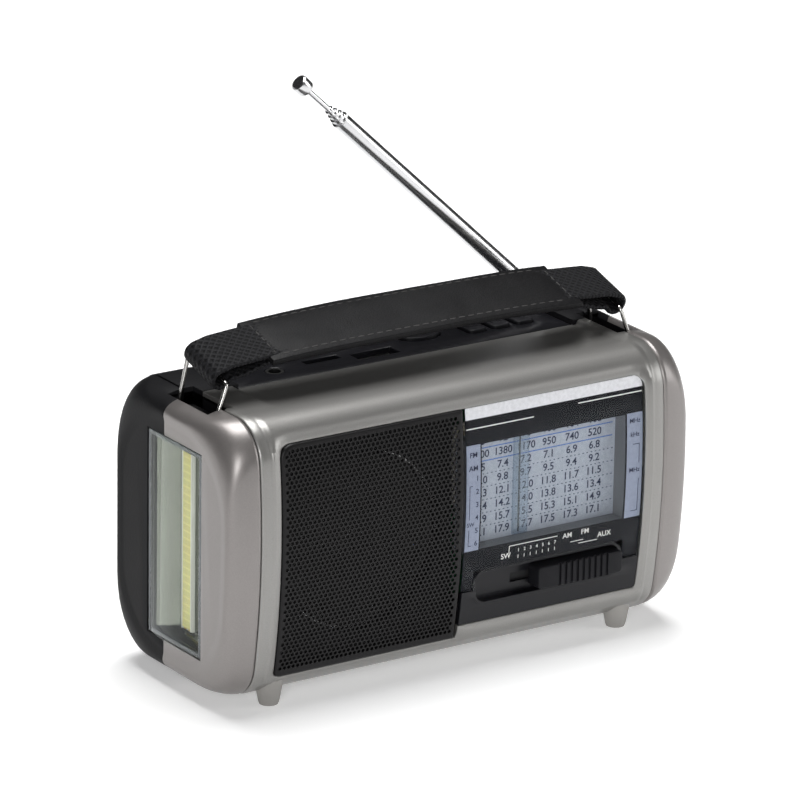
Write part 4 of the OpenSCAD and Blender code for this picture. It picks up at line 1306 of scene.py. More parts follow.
@dataclass(frozen=True)
class Print:
    """Flat printing on the front: words, lines and patches, each a thin film."""

    form: CaseForm = CaseForm()
    film: float = 0.02 * MM

    def word(self, text: str, x: float, z: float, size: float, y: float, align: Align = Align.CENTRE,
             weight: float = 0.0) -> Mesh:
        """Sets a word that faces forwards.

        Args:
            text: what it says.
            x: its place across.
            z: the height of its middle.
            size: the letters' size.
            y: the plane that it is printed on.
            align: which part of the word is at x.
            weight: how much bolder than plain, as a share.

        Returns:
            The mesh.
        """
        curve = bpy.data.curves.new("word", "FONT")
        curve.body = text
        curve.size = 1
        curve.offset = weight
        curve.extrude = self.film / size
        curve.resolution_u = 3
        curve.align_x = align.value
        curve.align_y = "CENTER"
        holder = bpy.data.objects.new("word", curve)
        mesh = bpy.data.meshes.new_from_object(holder)
        bm = bmesh.new()
        bm.from_mesh(mesh)
        bpy.data.objects.remove(holder)
        bpy.data.meshes.remove(mesh)
        weld(bm, 1e-5)
        place = Matrix.Translation((x, y, z)) @ Matrix.Rotation(math.pi / 2, 4, "X") @ Matrix.Scale(size, 4)
        bmesh.ops.transform(bm, matrix=place, verts=bm.verts)
        return bm

    def patch(self, x: Pair, z: Pair, depth: float,
              steps: int = 12) -> Mesh:
        """Lays a film on the bowed face, some way under it.

        Args:
            x: left and right.
            z: bottom and top.
            depth: how far under the face.
            steps: divisions up the curve.

        Returns:
            The mesh.
        """
        bm = block((x[0], -self.film, z[0]), (x[1], 0, z[1]))
        sliced(bm, 2, *z, steps)
        for v in bm.verts:
            v.co.y += self.form.face_y(v.co.z, depth)
        return bm

    def rule(self, x: Pair, z: float, depth: float, width: float = 0.25 * MM) -> Mesh:
        """Lays a level line on the bowed face."""
        return self.patch(x, (z - width / 2, z + width / 2), depth, 1)

    def bar(self, x: float, z: Pair, depth: float, width: float = 0.25 * MM) -> Mesh:
        """Lays an upright line on the bowed face."""
        return self.patch((x - width / 2, x + width / 2), z, depth, 6)


@dataclass
class Dial:
    """The tuning dial: lens, printed mask, deep well, numbered card and pointer."""

    form: CaseForm = CaseForm()
    ink: Print = Print()
    under: float = 1.36 * MM
    column: float = 7.72 * MM
    row: float = 3.8 * MM
    first: Pair = (8.4 * MM, 37.6 * MM)
    digit: float = 3.1 * MM
    bands: tuple[tuple[float, float, int], ...] = ((18.1, 17.1, 1), (15.9, 14.9, 1), (14.4, 13.4, 1),
                                                   (12.3, 11.5, 1), (10.0, 9.2, 1), (7.5, 6.8, 1),
                                                   (1600, 520, 0), (88, 108, 0))
    corner: float = 3.4 * MM
    label_left: Pair = (0.45 * MM, 5.1 * MM)
    label_right: Pair = (54.4 * MM, 59.7 * MM)
    header: Pair = (72.9 * MM, 76.3 * MM)

    def window(self) -> Pair:
        """Returns the bottom and top of the dial window."""
        low, high = box_of("dial_frame")
        return low.z + 1 * MM, high.z - 1 * MM

    def numerals(self) -> Piece:
        """Prints the rows of frequencies on the card."""
        face = box_of("dial_card")[0].y - self.ink.film
        parts = []
        for j, (start, end, places) in enumerate(self.bands):
            step = 10 if start > 200 else 1
            for i in range(6):
                share = i / 5
                value = start + (end - start) * share
                text = f"{value:.{places}f}" if places else f"{round(value / step) * step}"
                parts.append(self.ink.word(text, self.first[0] + i * self.column,
                                           self.first[1] + j * self.row,
                                           self.digit, face, weight=0.012))
        return place_piece(joined(parts), "dial_numerals", DIAL_INK, HOUSING, smooth=60)

    def row_dots(self) -> Piece:
        """Prints the dotted rules between the rows."""
        face = box_of("dial_card")[0].y - self.ink.film
        parts = []
        for j in range(1, 6):
            z = self.first[1] + (j - 0.5) * self.row
            for i in range(34):
                x = 6.6 * MM + i * 1.4 * MM
                parts.append(block((x, face - self.ink.film, z - 0.12 * MM),
                                   (x + 0.5 * MM, face, z + 0.12 * MM)))
        return place_piece(joined(parts), "dial_dots", DIAL_INK, HOUSING)

    def rules(self) -> Piece:
        """Prints the blue rules that part the medium wave row from the short wave rows."""
        face = box_of("dial_card")[0].y - self.ink.film
        parts = [block((6.5 * MM, face - self.ink.film, z - 0.16 * MM), (53 * MM, face, z + 0.16 * MM))
                 for z in (self.first[1] + 5.5 * self.row, self.first[1] + 6.5 * self.row)]
        return place_piece(joined(parts), "dial_rules", BLUE_INK, HOUSING)

    def columns(self) -> list[Piece]:
        """Prints the two pale columns beside the window, with their labels."""
        low, high = self.window()
        pale = [self.ink.patch(x, (low - 0.1 * MM, high + 0.1 * MM), self.under)
                for x in (self.label_left, self.label_right)]
        words, over = [], self.under - 0.05 * MM
        middle = sum(self.label_left) / 2
        marks = (("FM", 7), ("AM", 6), ("1", 5), ("2", 4), ("3", 3), ("4", 2), ("5", 1), ("6", 0))
        for text, j in marks:
            z = self.first[1] + j * self.row - (1.4 * MM if j > 5 else 0.6 * MM)
            x = middle + (0 if j > 5 else 1.3 * MM)
            words.append(self.word_on_lens(text, x, z, 2.1 * MM, over))
        words.append(self.word_on_lens("SW", middle - 0.7 * MM, low + 7.7 * MM, 1.6 * MM, over))
        words.append(self.ink.bar(middle - 1.2 * MM, (low + 9.2 * MM, low + 19 * MM), over, 0.2 * MM))
        words.append(self.ink.bar(middle - 1.2 * MM, (low + 1.5 * MM, low + 6.3 * MM), over, 0.2 * MM))
        for z in (low + 1.5 * MM, low + 19 * MM):
            words.append(self.ink.rule((middle - 1.3 * MM, middle - 0.2 * MM), z, over, 0.2 * MM))
        right = sum(self.label_right) / 2
        for text, z in (("MHz", high - 2.2 * MM), ("kHz", high - 6.2 * MM), ("MHz", low + 14 * MM)):
            words.append(self.word_on_lens(text, right, z, 1.9 * MM, over))
        words.append(self.ink.bar(right + 1.5 * MM, (low + 1.8 * MM, low + 11.4 * MM), over, 0.2 * MM))
        words.append(self.ink.rule((right - 0.6 * MM, right + 1.6 * MM), low + 1.8 * MM, over, 0.2 * MM))
        words.append(self.ink.bar(right + 1.5 * MM, (low + 16 * MM, high - 9 * MM), over, 0.2 * MM))
        words.append(self.ink.rule((right - 0.6 * MM, right + 1.6 * MM), high - 9 * MM, over, 0.2 * MM))
        return [place_piece(joined(pale), "dial_label_columns", LABEL_BLUE, HOUSING),
                place_piece(joined(words), "dial_labels", DIAL_INK, HOUSING, smooth=60)]

    def word_on_lens(self, text: str, x: float, z: float, size: float, depth: float) -> Mesh:
        """Sets a word on the back of the lens."""
        return self.ink.word(text, x, z, size, self.form.face_y(z, depth) - self.ink.film, weight=0.01)

    def white_marks(self) -> Piece:
        """Prints the white rules and the band names on the black mask."""
        over = self.under - 0.02 * MM
        low = self.window()[0]
        parts = [self.ink.rule((0.6 * MM, 23 * MM), 70.3 * MM, over, 0.3 * MM),
                 self.ink.rule((38 * MM, 59.6 * MM), 71.6 * MM, over, 0.3 * MM)]
        scale = (15.6 * MM, 31.8 * MM)
        top = low - 1.1 * MM
        parts.append(self.ink.rule(scale, top, over, 0.22 * MM))
        parts.append(self.ink.bar(scale[0], (low - 3.4 * MM, top), over, 0.22 * MM))
        for i in range(7):
            x = scale[0] + (3.2 + 2.05 * i) * MM
            parts.append(self.word_on_lens(str(i + 1), x, low - 2.8 * MM, 1.35 * MM, over))
            parts.append(self.ink.bar(x, (low - 5.2 * MM, low - 4.2 * MM), over, 0.2 * MM))
        for text, x, z in (("SW", 14.6, 31.1), ("AM", 35.2, 33.4), ("FM", 41.2, 33.6), ("AUX", 47.9, 31.6)):
            parts.append(self.word_on_lens(text, x * MM, z * MM, 2.2 * MM, over))
        for x, end, z in ((36.4, 40.8, 31.2), (39.2, 45.6, 30.3)):
            parts.append(self.ink.rule((x * MM, end * MM), z * MM, over, 0.2 * MM))
        return place_piece(joined(parts), "dial_white_print", WHITE_INK, HOUSING, smooth=60)

    def outline(self, grow: float = 0) -> Mesh:
        """Returns a deep block with the dial's outline, its outer top corner rounded."""
        low, high = box_of("dial_lens")
        corner = Vector((high.x + grow - self.corner, 0, high.z + grow - self.corner))
        arc = [(corner.x + self.corner * math.sin(math.pi / 2 * i / 12),
                corner.z + self.corner * math.cos(math.pi / 2 * i / 12)) for i in range(13)]
        points = [(low.x - grow, low.z - 12 * MM), (low.x - grow, high.z + grow), *arc,
                  (high.x + grow, low.z - 12 * MM)]
        return pillar(points[::-1], lambda a, b: Vector((a, -33 * MM, b)), Vector((0, 14 * MM, 0)))

    def clipped(self, node: str, finish: Finish, name: str) -> Piece:
        """Builds a copy of a flat node with the dial's outline."""
        bm = cut_with(plain_copy(node), self.outline(-0.02 * MM), "INTERSECT")
        return place_piece(bm, name, finish, HOUSING, [node], 35)

    def header_band(self) -> Piece:
        """Prints the silver band along the top of the dial."""
        low, high = box_of("dial_lens")
        bm = self.ink.patch((low.x + 0.1 * MM, high.x - 0.1 * MM), self.header, self.under)
        bm = cut_with(bm, self.outline(-0.1 * MM), "INTERSECT")
        return place_piece(bm, "dial_header", HEADER_SILVER, HOUSING)

    def pointer(self) -> list[Piece]:
        """Builds the clear pointer bar with its dark line and cord clip."""
        low, high = box_of("dial_pointer")
        top = self.window()[1] + 2.0 * MM
        bar = block((low.x, low.y + 0.1 * MM, low.z), (high.x, low.y + 1.1 * MM, top), 0.35 * MM, 3)
        foot = block((low.x, low.y + 0.1 * MM, high.z - 2.2 * MM), (high.x, high.y, high.z - 1.0 * MM),
                     0.2 * MM)
        clip = block((low.x + 0.5 * MM, high.y - 1.9 * MM, high.z - 1.1 * MM),
                     (high.x - 0.5 * MM, high.y, high.z),
                     0.2 * MM)
        middle = (low.x + high.x) / 2
        line = block((middle - 0.25 * MM, low.y + 1.14 * MM, low.z + 0.4 * MM),
                     (middle + 0.25 * MM, low.y + 1.3 * MM, top), 0.04 * MM)
        return [place_piece(joined([bar, foot, clip]), "pointer_bar", CLEAR_POINTER, "pointer",
                            ["dial_pointer"]),
                place_piece(line, "pointer_hairline", POINTER_LINE, "pointer")]

    def build(self) -> list[Piece]:
        """Dresses the frame's own dial pieces and builds what is printed on them."""
        for node, finish in (("dial_frame", WELL_GREY), ("dial_card", CARD_BLUE)):
            dress(node, finish)
        return [self.clipped("dial_lens", CLEAR_LENS, "dial_window"),
                self.clipped("dial_mask", MASK_BLACK, "dial_print_film"),
                self.numerals(), self.row_dots(), self.rules(), *self.columns(), self.white_marks(),
                self.header_band(), *self.pointer()]


@dataclass
class LowerPanel:
    """The matt panel under the dial, its slider recess and the ribbed band slider."""

    form: CaseForm = CaseForm()
    recess_x: Pair = (5 * MM, 53.5 * MM)
    recess_z: Pair = (18.8 * MM, 27.5 * MM)
    rim: float = 0.85 * MM
    corner: float = 3.2 * MM
    ribs: int = 9
    rib_pitch: float = 2 * MM

    def recess(self, grow: float, front: float, back: float) -> Mesh:
        """Returns a rounded block round the recess, larger by a margin, between two depths."""
        width = self.recess_x[1] - self.recess_x[0] + 2 * grow
        height = self.recess_z[1] - self.recess_z[0] + 2 * grow
        x, z = sum(self.recess_x) / 2, sum(self.recess_z) / 2
        return pillar(rounded_outline(width, height, self.corner + grow, 6),
                      lambda a, b: Vector((x + a, front, z + b)), Vector((0, back - front, 0)))

    def panel(self) -> Piece:
        """Builds the panel with its rounded recess and the slot for the slider's stem."""
        low, high = box_of("lower_panel")
        plate_top = 22.75 * MM
        depth = 0.6 * MM
        plate = block((low.x, 0, low.z), (high.x, 1.4 * MM, plate_top))
        sliced(plate, 2, low.z, plate_top, 9)
        for v in plate.verts:
            v.co.y += self.form.face_y(v.co.z, depth)
        front = self.form.face_y(self.recess_z[0], depth)
        tub = self.recess(self.rim, front - 0.25 * MM, high.y - 0.02 * MM)
        whole = cut_with(plate, tub, "UNION")
        floor = self.form.face_y(50 * MM) + 5.2 * MM
        whole = cut_with(whole, self.recess(0, front - 5 * MM, floor))
        slider = box_of("band_slider")
        middle = (slider[0].x + slider[1].x) / 2
        stem = (slider[0].z + slider[1].z) / 2
        slot = block((middle - 20.5 * MM, floor - 1 * MM, stem - 1.4 * MM),
                     (middle + 2 * MM, 0, stem + 1.4 * MM))
        whole = cut_with(whole, slot)
        lips = [e for e in sharp_edges(whole, 60)
                if all(v.co.y < front + 0.6 * MM for v in e.verts) and e.calc_length() > 0.2 * MM
                and self.recess_z[0] - 1.2 * MM < e.verts[0].co.z < self.recess_z[1] + 1.2 * MM
                and self.recess_x[0] - 1.2 * MM < e.verts[0].co.x < self.recess_x[1] + 1.2 * MM]
        bevelled(whole, lips, 0.18 * MM, 2)
        return place_piece(whole, "slider_panel", PANEL_GLOSS, HOUSING, ["lower_panel"], 35)

    def slider(self) -> Piece:
        """Builds the band slider: a rounded knob with finger ribs, and its stem."""
        low, high = box_of("band_slider")
        floor = self.form.face_y(50 * MM) + 5.0 * MM
        knob = block(low, Vector((high.x, floor, high.z)))
        uprights = [e for e in knob.edges if abs(e.verts[0].co.y - e.verts[1].co.y) > 1 * MM]
        bevelled(knob, uprights, 1.1 * MM, 4)
        bevelled(knob, [e for e in sharp_edges(knob) if all(v.co.y < low.y + 0.01 * MM for v in e.verts)],
                 0.35 * MM, 3)
        first = (low.x + high.x) / 2 - (self.ribs - 1) / 2 * self.rib_pitch + 0.9 * MM
        for i in range(self.ribs):
            x = first + i * self.rib_pitch
            groove = block((x - 0.45 * MM, low.y - 1 * MM, low.z - 1 * MM), (x + 0.45 * MM, low.y + 0.75 * MM,
                                                                          high.z + 1 * MM), 0.2 * MM)
            knob = cut_with(knob, groove)
        middle, stem = (low.x + high.x) / 2, (low.z + high.z) / 2
        parts = [knob, block((middle - 1.5 * MM, floor - 0.1 * MM, stem - 1 * MM),
                             (middle + 1.5 * MM, high.y, stem + 1 * MM), 0.1 * MM)]
        return place_piece(joined(parts), "slider_knob", KEY_BLACK, "slider",
                           ["band_slider"])

    def shade(self) -> Piece:
        """Builds the dark strip that slides behind the slot: painted shade that keeps the slot dark where the
        board behind it would show.
        """
        low, high = box_of("band_slider")
        back = box_of("lower_panel")[1].y
        middle, stem = (low.x + high.x) / 2, (low.z + high.z) / 2
        # Painted shade: a thin black sheet standing in for the darkness inside the slot.
        bm = block((middle - 20.8 * MM, back + 0.08 * MM, stem - 2.6 * MM),
                   (middle + 18.5 * MM, back + 0.3 * MM, stem + 2.6 * MM), 0.08 * MM)
        return place_piece(bm, "slider_slot_painted_shade", INNER_BLACK, "slider")

    def build(self) -> list[Piece]:
        """Builds the panel, the slider and the dark strip of painted shade behind the slot."""
        return [self.panel(), self.slider(), self.shade()]


# ---- top


class Symbol(Enum):
    """The raised mark on each key."""

    PREVIOUS = "previous"
    PLAY = "play"
    NEXT = "next"
    LIGHT = "light"


@dataclass
class TopPanel:
    """The black top panel with its sockets, keys and lamp key."""

    rounding: float = 0.3 * MM
    key_round: float = 0.45 * MM
    mark: float = 0.12 * MM

    def panel(self) -> Piece:
        """Builds the panel with its edges rounded."""
        return place_piece(copy_of("top_panel", self.rounding, 50), "socket_panel", PANEL_GLOSS, HOUSING,
                           ["top_panel"], 35)

    def symbol(self, which: Symbol, x: float, y: float, z: float) -> list[Mesh]:
        """Returns a raised mark made of small triangles and bars."""
        def prism(points: Sequence[Pair]) -> Mesh:
            return pillar(points, lambda a, b: Vector((x + a * MM, y + b * MM, z - 0.05 * MM)),
                          Vector((0, 0, self.mark + 0.05 * MM)), 0.03 * MM, 1)

        arrow = [(-0.7, -0.9), (0.7, 0), (-0.7, 0.9)]
        bar = [(-0.18, -0.9), (0.18, -0.9), (0.18, 0.9), (-0.18, 0.9)]
        if which is Symbol.NEXT:
            return [prism([(a - 0.8, b) for a, b in arrow]), prism([(a + 0.5, b) for a, b in arrow]),
                    prism([(a + 1.5, b) for a, b in bar])]
        if which is Symbol.PREVIOUS:
            return [prism([(-a + 0.8, b) for a, b in reversed(arrow)]),
                    prism([(-a - 0.5, b) for a, b in reversed(arrow)]), prism([(a - 1.5, b) for a, b in bar])]
        if which is Symbol.PLAY:
            return [prism([(a - 0.9, b) for a, b in arrow]), prism([(a + 0.6, b) for a, b in bar]),
                    prism([(a + 1.4, b) for a, b in bar])]
        rays = []
        for i in range(8):
            c, s = math.cos(math.tau * i / 8), math.sin(math.tau * i / 8)
            rays.append(prism([(c * r - s * w, s * r + c * w) for r, w in
                               ((1.5, -0.12), (2.2, -0.12), (2.2, 0.12), (1.5, 0.12))]))
        return [prism(oval(1, 1, 16)), *rays]

    def key(self, node: str, body: str, which: Symbol) -> Piece:
        """Builds one key over its own stem, and returns it.

        Args:
            node: the frame node it stands for.
            body: the body it moves with.
            which: its raised mark.

        Returns:
            The piece.
        """
        low, high = box_of(node)
        x, y = (low.x + high.x) / 2, (low.y + high.y) / 2
        flange, share = (0.8 * MM, 0.75) if which is Symbol.LIGHT else (0.6 * MM, 1.15)
        half = Vector(((high.x - low.x) / 2 - flange, (high.y - low.y) / 2 - flange * share, 0))
        if which is Symbol.LIGHT:
            outline = oval(half.x, half.y, 40)
        else:
            outline = rounded_outline(2 * half.x, 2 * half.y, 1.6 * MM, 6)
        skirt = high.z - 2.9 * MM - 0.5 * MM
        cap = pillar(outline, lambda a, b: Vector((x + a, y + b, skirt)), Vector((0, 0, high.z - skirt)),
                     self.key_round, 4)
        spread = [(a * (1 + flange / half.x), b * (1 + flange / half.y)) for a, b in outline]
        base = pillar(spread, lambda a, b: Vector((x + a, y + b, skirt - 0.8 * MM)), Vector((0, 0, 0.8 * MM)))
        stem = turned([(0, 0), (1.4 * MM, 0), (1.4 * MM, skirt - 0.7 * MM - low.z),
                       (0, skirt - 0.7 * MM - low.z)],
                      Matrix.Translation((x, y, low.z)), 16)
        parts = [cap, base, stem, *self.symbol(which, x, y, high.z - 0.02 * MM)]
        return place_piece(joined(parts), node.replace("_button", "_key_cap"), KEY_BLACK, body,
                           [node])

    def build(self) -> list[Piece]:
        """Builds the panel and its four keys."""
        keys = (("previous_button", "previous_key", Symbol.PREVIOUS),
                ("play_button", "play_key", Symbol.PLAY),
                ("next_button", "next_key", Symbol.NEXT), ("lamp_button", "lamp_key", Symbol.LIGHT))
        return [self.panel(), *(self.key(*k) for k in keys)]


# ---- lamp


@dataclass
class Lamp:
    """The end lamp: bowed clear lens, mirror trough, board and yellow strip."""

    rim: float = 1.3 * MM
    rounding: float = 0.35 * MM

    def lens(self) -> Piece:
        """Builds the lens with its edges rounded."""
        return place_piece(copy_of("lamp_lens", self.rounding, 40, 3), "lamp_window", LAMP_CLEAR, HOUSING,
                           ["lamp_lens"], 35)

    def ring(self, node: str, solid: Pair, hole: Pair, radii: Pair, rounding: float) -> Mesh:
        """Makes a flat ring just inside a node's outline.

        Args:
            node: the frame node.
            solid: where the ring starts past the node's left, and how far it goes out.
            hole: the same for what opens it.
            radii: its outer and inner corner radius.
            rounding: the radius of its edges.

        Returns:
            The mesh.
        """
        low, high = box_of(node)
        y, z = (low.y + high.y) / 2, (low.z + high.z) / 2
        blocks = []
        for inset, radius, (start, run) in zip((0, self.rim), radii, (solid, hole)):
            outline = rounded_outline(high.y - low.y - 0.3 * MM - 2 * inset,
                                      high.z - low.z - 0.3 * MM - 2 * inset, radius)
            blocks.append(pillar(outline, lambda a, b: Vector((low.x + start, y + a, z + b)),
                                 Vector((-run, 0, 0))))
        bm = cut_with(*blocks)
        bevelled(bm, sharp_edges(bm), rounding, 2)
        return bm

    def rims(self) -> list[Piece]:
        """Builds the bright rim inside the lens's edge, and the smoky border round the lens."""
        bright = self.ring("lamp_reflector", (-0.05 * MM, 0.35 * MM), (1 * MM, 3 * MM), (0.8 * MM, 0.5 * MM),
                           0.1 * MM)
        smoky = self.ring("lamp_lens", (1.7 * MM, 0.42 * MM), (4 * MM, 6 * MM), (0.6 * MM, 0.4 * MM),
                          0.12 * MM)
        return [place_piece(bright, "lamp_rim", REFLECTOR, HOUSING),
                place_piece(smoky, "lamp_border", LAMP_EDGE, HOUSING)]

    def board(self) -> list[Piece]:
        """Builds the white board with its solder pads, and the gel strip with its dam."""
        low, high = box_of("lamp_board")
        strip_low, strip_high = box_of("lamp_strip")
        parts = [block(low, high, 0.1 * MM)]
        gel = block(strip_low - Vector((0.05 * MM, 0, 0)), strip_high, 0.18 * MM, 3)
        edge_y, edge_z = 0.5 * MM, 0.5 * MM
        for y in (strip_low.y - edge_y, strip_high.y):
            parts.append(block((strip_low.x - 0.1 * MM, y, strip_low.z - edge_z),
                               (high.x - 0.5 * MM, y + edge_y, strip_high.z + edge_z), 0.12 * MM))
        pads = [block((low.x - 0.12 * MM, -1.2 * MM + s * 1.1 * MM - 0.6 * MM, z), (low.x + 0.1 * MM,
                      -1.2 * MM + s * 1.1 * MM + 0.6 * MM, z + 0.5 * MM), 0.08 * MM)
                for s in (-1, 1) for z in (low.z + 0.02 * MM, high.z - 0.52 * MM)]
        return [place_piece(joined(parts), "light_board", LAMP_BOARD, HOUSING, ["lamp_board"]),
                place_piece(joined(pads), "light_pads", BRASS, HOUSING),
                place_piece(gel, "light_strip", PHOSPHOR, HOUSING, ["lamp_strip"])]

    def build(self) -> list[Piece]:
        """Builds the lens, its rims, the board and the strip, and dresses the trough."""
        dress("lamp_reflector", REFLECTOR)
        return [self.lens(), *self.rims(), *self.board()]


# ---- handle


@dataclass
class Handle:
    """The carrying handle: two wire bails, a looped webbing strap and a stitched, padded sleeve."""

    tilt: float = math.radians(16.5)
    wire_r: float = 0.6 * MM
    loop: float = 2.75 * MM
    rise: float = 5.1 * MM
    web: float = 1.3 * MM
    web_width: float = 15.4 * MM
    sleeve_width: float = 20 * MM
    sleeve_half: float = 51 * MM
    sleeve_thick: float = 3.1 * MM
    stitch: float = 2.1 * MM
    stitch_step: float = 3.0 * MM
    thread: float = 0.22 * MM

    def __post_init__(self) -> None:
        """Works out where the bars are from the frame's bails."""
        low, high = box_of("right_bail")
        self.pin = (high.y - low.y) / 2
        self.middle_y = (low.y + high.y) / 2
        self.leg = 9.4 * MM
        self.drop = self.leg * math.tan(self.tilt)
        self.bar_z = high.z - self.wire_r - 0.03 * MM - self.drop
        self.pivot_x = high.x - self.wire_r - 0.03 * MM
        self.bar_x = low.x + self.wire_r + 0.03 * MM
        self.pivot_z = low.z + self.wire_r + 0.03 * MM

    def bail(self, side: Side) -> Piece:
        """Builds one wire bail with bent corners."""
        corners = [Vector((self.pivot_x, self.middle_y - self.pin, self.pivot_z)),
                   Vector((self.pivot_x, self.middle_y - self.leg, self.pivot_z)),
                   Vector((self.bar_x, self.middle_y - self.leg, self.bar_z - self.drop)),
                   Vector((self.bar_x, self.middle_y + self.leg, self.bar_z + self.drop)),
                   Vector((self.pivot_x, self.middle_y + self.leg, self.pivot_z)),
                   Vector((self.pivot_x, self.middle_y + self.pin, self.pivot_z))]
        points = [corners[0]]
        for before, corner, after in zip(corners, corners[1:], corners[2:]):
            radius = 0.75 * MM if corner in (corners[1], corners[4]) else 1.3 * MM
            start = corner + (before - corner).normalized() * radius
            end = corner + (after - corner).normalized() * radius
            points += [start.lerp(corner, t).lerp(corner.lerp(end, t), t) for t in (0, 0.2, 0.4, 0.6, 0.8, 1)]
        points.append(corners[-1])
        points = [Vector((p.x * side.value, p.y, p.z)) for p in points]
        word = side.name.lower()
        return place_piece(wire(points, self.wire_r, 16), f"{word}_wire_bail", WIRE, f"bail_{word}",
                           [f"{word}_bail"])

    def lie(self, x: float) -> float:
        """Returns the height of the strap's middle layer above the bars, in the tilted frame."""
        return self.loop + (self.rise - self.loop) * (1 - min(1.0, abs(x) / self.bar_x) ** 3)

    def place(self) -> Matrix:
        """Returns the tilted frame that the strap is drawn in."""
        return Matrix.Translation((0, self.middle_y, self.bar_z)) @ Matrix.Rotation(self.tilt, 4, "X")

    def strap_path(self) -> list[Pair]:
        """Returns the strap's middle line round both bars, as (x, height), anticlockwise from the right."""
        inner = self.sleeve_half - 6 * MM
        gap = 0.68 * MM
        start = math.radians(80)
        turn = [start - (math.pi + math.radians(70)) * i / 22 for i in range(23)]
        loop = [(self.bar_x + self.loop * math.cos(a), self.loop * math.sin(a)) for a in turn]
        reach = self.bar_x - 3 * MM - inner
        over = [(x, self.lie(x) + gap) for x in (inner + reach * i / 7 for i in range(8))]
        low, target = loop[-1], self.lie(inner) - gap
        under = [(low[0] + (inner - low[0]) * t, low[1] + (target - low[1]) * eased(t, 0, 1))
                 for t in (i / 8 for i in range(1, 9))]
        return over + loop + under

    def webbing(self) -> Piece:
        """Builds the strap: a band looped round each bar, with soft edges and a map for its weave."""
        bms = []
        for side in (1, -1):
            path = [(x * side, h) for x, h in self.strap_path()]
            section = self.band_section()
            bm = bmesh.new()
            uv = bm.loops.layers.uv.new("weave")
            before, length, lengths, widths = [], 0.0, {}, {}
            for i in range(len(path)):
                length += math.dist(path[i - 1], path[i]) if i else 0
                ring, edges = ring_of(bm, self.offset_section(path, i, section))
                lengths.update({v: length for v in ring})
                widths.update({v: s[0] for v, s in zip(ring, section)})
                if before:
                    bmesh.ops.bridge_loops(bm, edges=before + edges)
                else:
                    bmesh.ops.contextual_create(bm, geom=edges)
                before = edges
            bmesh.ops.contextual_create(bm, geom=before)
            for face in bm.faces:
                for corner in face.loops:
                    corner[uv].uv = (widths[corner.vert], lengths[corner.vert])
            outward(bm)
            bmesh.ops.transform(bm, matrix=self.place(), verts=bm.verts)
            bms.append(bm)
        return place_piece(joined(bms), "webbing_strap", STRAP, "strap", ["handle_strap"], 50)

    def band_section(self) -> list[Pair]:
        """Returns the band's section, as (across, thickness), with ribs along it and rounded selvages."""
        half, thick = self.web_width / 2, self.web / 2
        ribs = 12
        top = []
        for i in range(ribs * 2 + 1):
            across = -half + 0.7 * MM + (2 * half - 1.4 * MM) * i / (ribs * 2)
            top.append((across, thick - (0.12 * MM if i % 2 else 0)))
        edge = [(half - 0.2 * MM, thick * 0.75), (half, 0), (half - 0.2 * MM, -thick * 0.75)]
        bottom = [(a, -t) for a, t in reversed(top)]
        return top + edge + bottom + [(-a, t) for a, t in reversed(edge)]

    def offset_section(self, path: Sequence[Pair], i: int,
                       section: Sequence[Pair]) -> list[Vector]:
        """Returns the section's points at one station of a path, in the strap's own frame."""
        before, after = path[max(0, i - 1)], path[min(len(path) - 1, i + 1)]
        along = Vector((after[0] - before[0], after[1] - before[1])).normalized()
        out = Vector((-along.y, along.x))
        x, h = path[i]
        return [Vector((x + out.x * t, a, h + out.y * t)) for a, t in section]

    def sleeve(self) -> Piece:
        """Builds the padded sleeve: a wrapped, crowned cover with soft creases, pinched at its edges."""
        bm = bmesh.new()
        bmesh.ops.create_cube(bm, size=1, matrix=Matrix.Diagonal((2 * self.sleeve_half, self.sleeve_width,
                                                                  self.sleeve_thick, 1)))
        for axis, count, reach in ((0, 56, self.sleeve_half), (1, 14, self.sleeve_width / 2)):
            sliced(bm, axis, -reach, reach, count)
        half_x, half_y, half_z = self.sleeve_half, self.sleeve_width / 2, self.sleeve_thick / 2
        for v in bm.verts:
            across, along = v.co.y / half_y, v.co.x / half_x
            puff = (1 - abs(across) ** 3.2) * (1 - abs(along) ** 18)
            seam = math.exp(-((abs(across) - 0.80) / 0.05) ** 2) * 0.14 * MM
            ends = math.exp(-((abs(along) - 0.955) / 0.012) ** 2) * 0.14 * MM
            crease = 0.16 * MM * noise.noise(Vector((v.co.x * 90, v.co.y * 45, v.co.z * 10)))
            crease += 0.08 * MM * noise.noise(Vector((v.co.x * 260, v.co.y * 120, 7)))
            sign = 1 if v.co.z > 0 else -1
            height = half_z * (0.62 + 0.38 * puff) + crease * (0.3 + 0.7 * puff) - seam - ends
            v.co.z = sign * min(height, half_z) + self.lie(v.co.x)
            v.co.y *= 1 - 0.012 * math.sin(v.co.x * 95) * abs(across)
        bevelled(bm, sharp_edges(bm, 60), 0.45 * MM, 3)
        bmesh.ops.transform(bm, matrix=self.place(), verts=bm.verts)
        piece = place_piece(bm, "padded_sleeve", SLEEVE, "strap", ["handle_sleeve"], 60)
        return piece

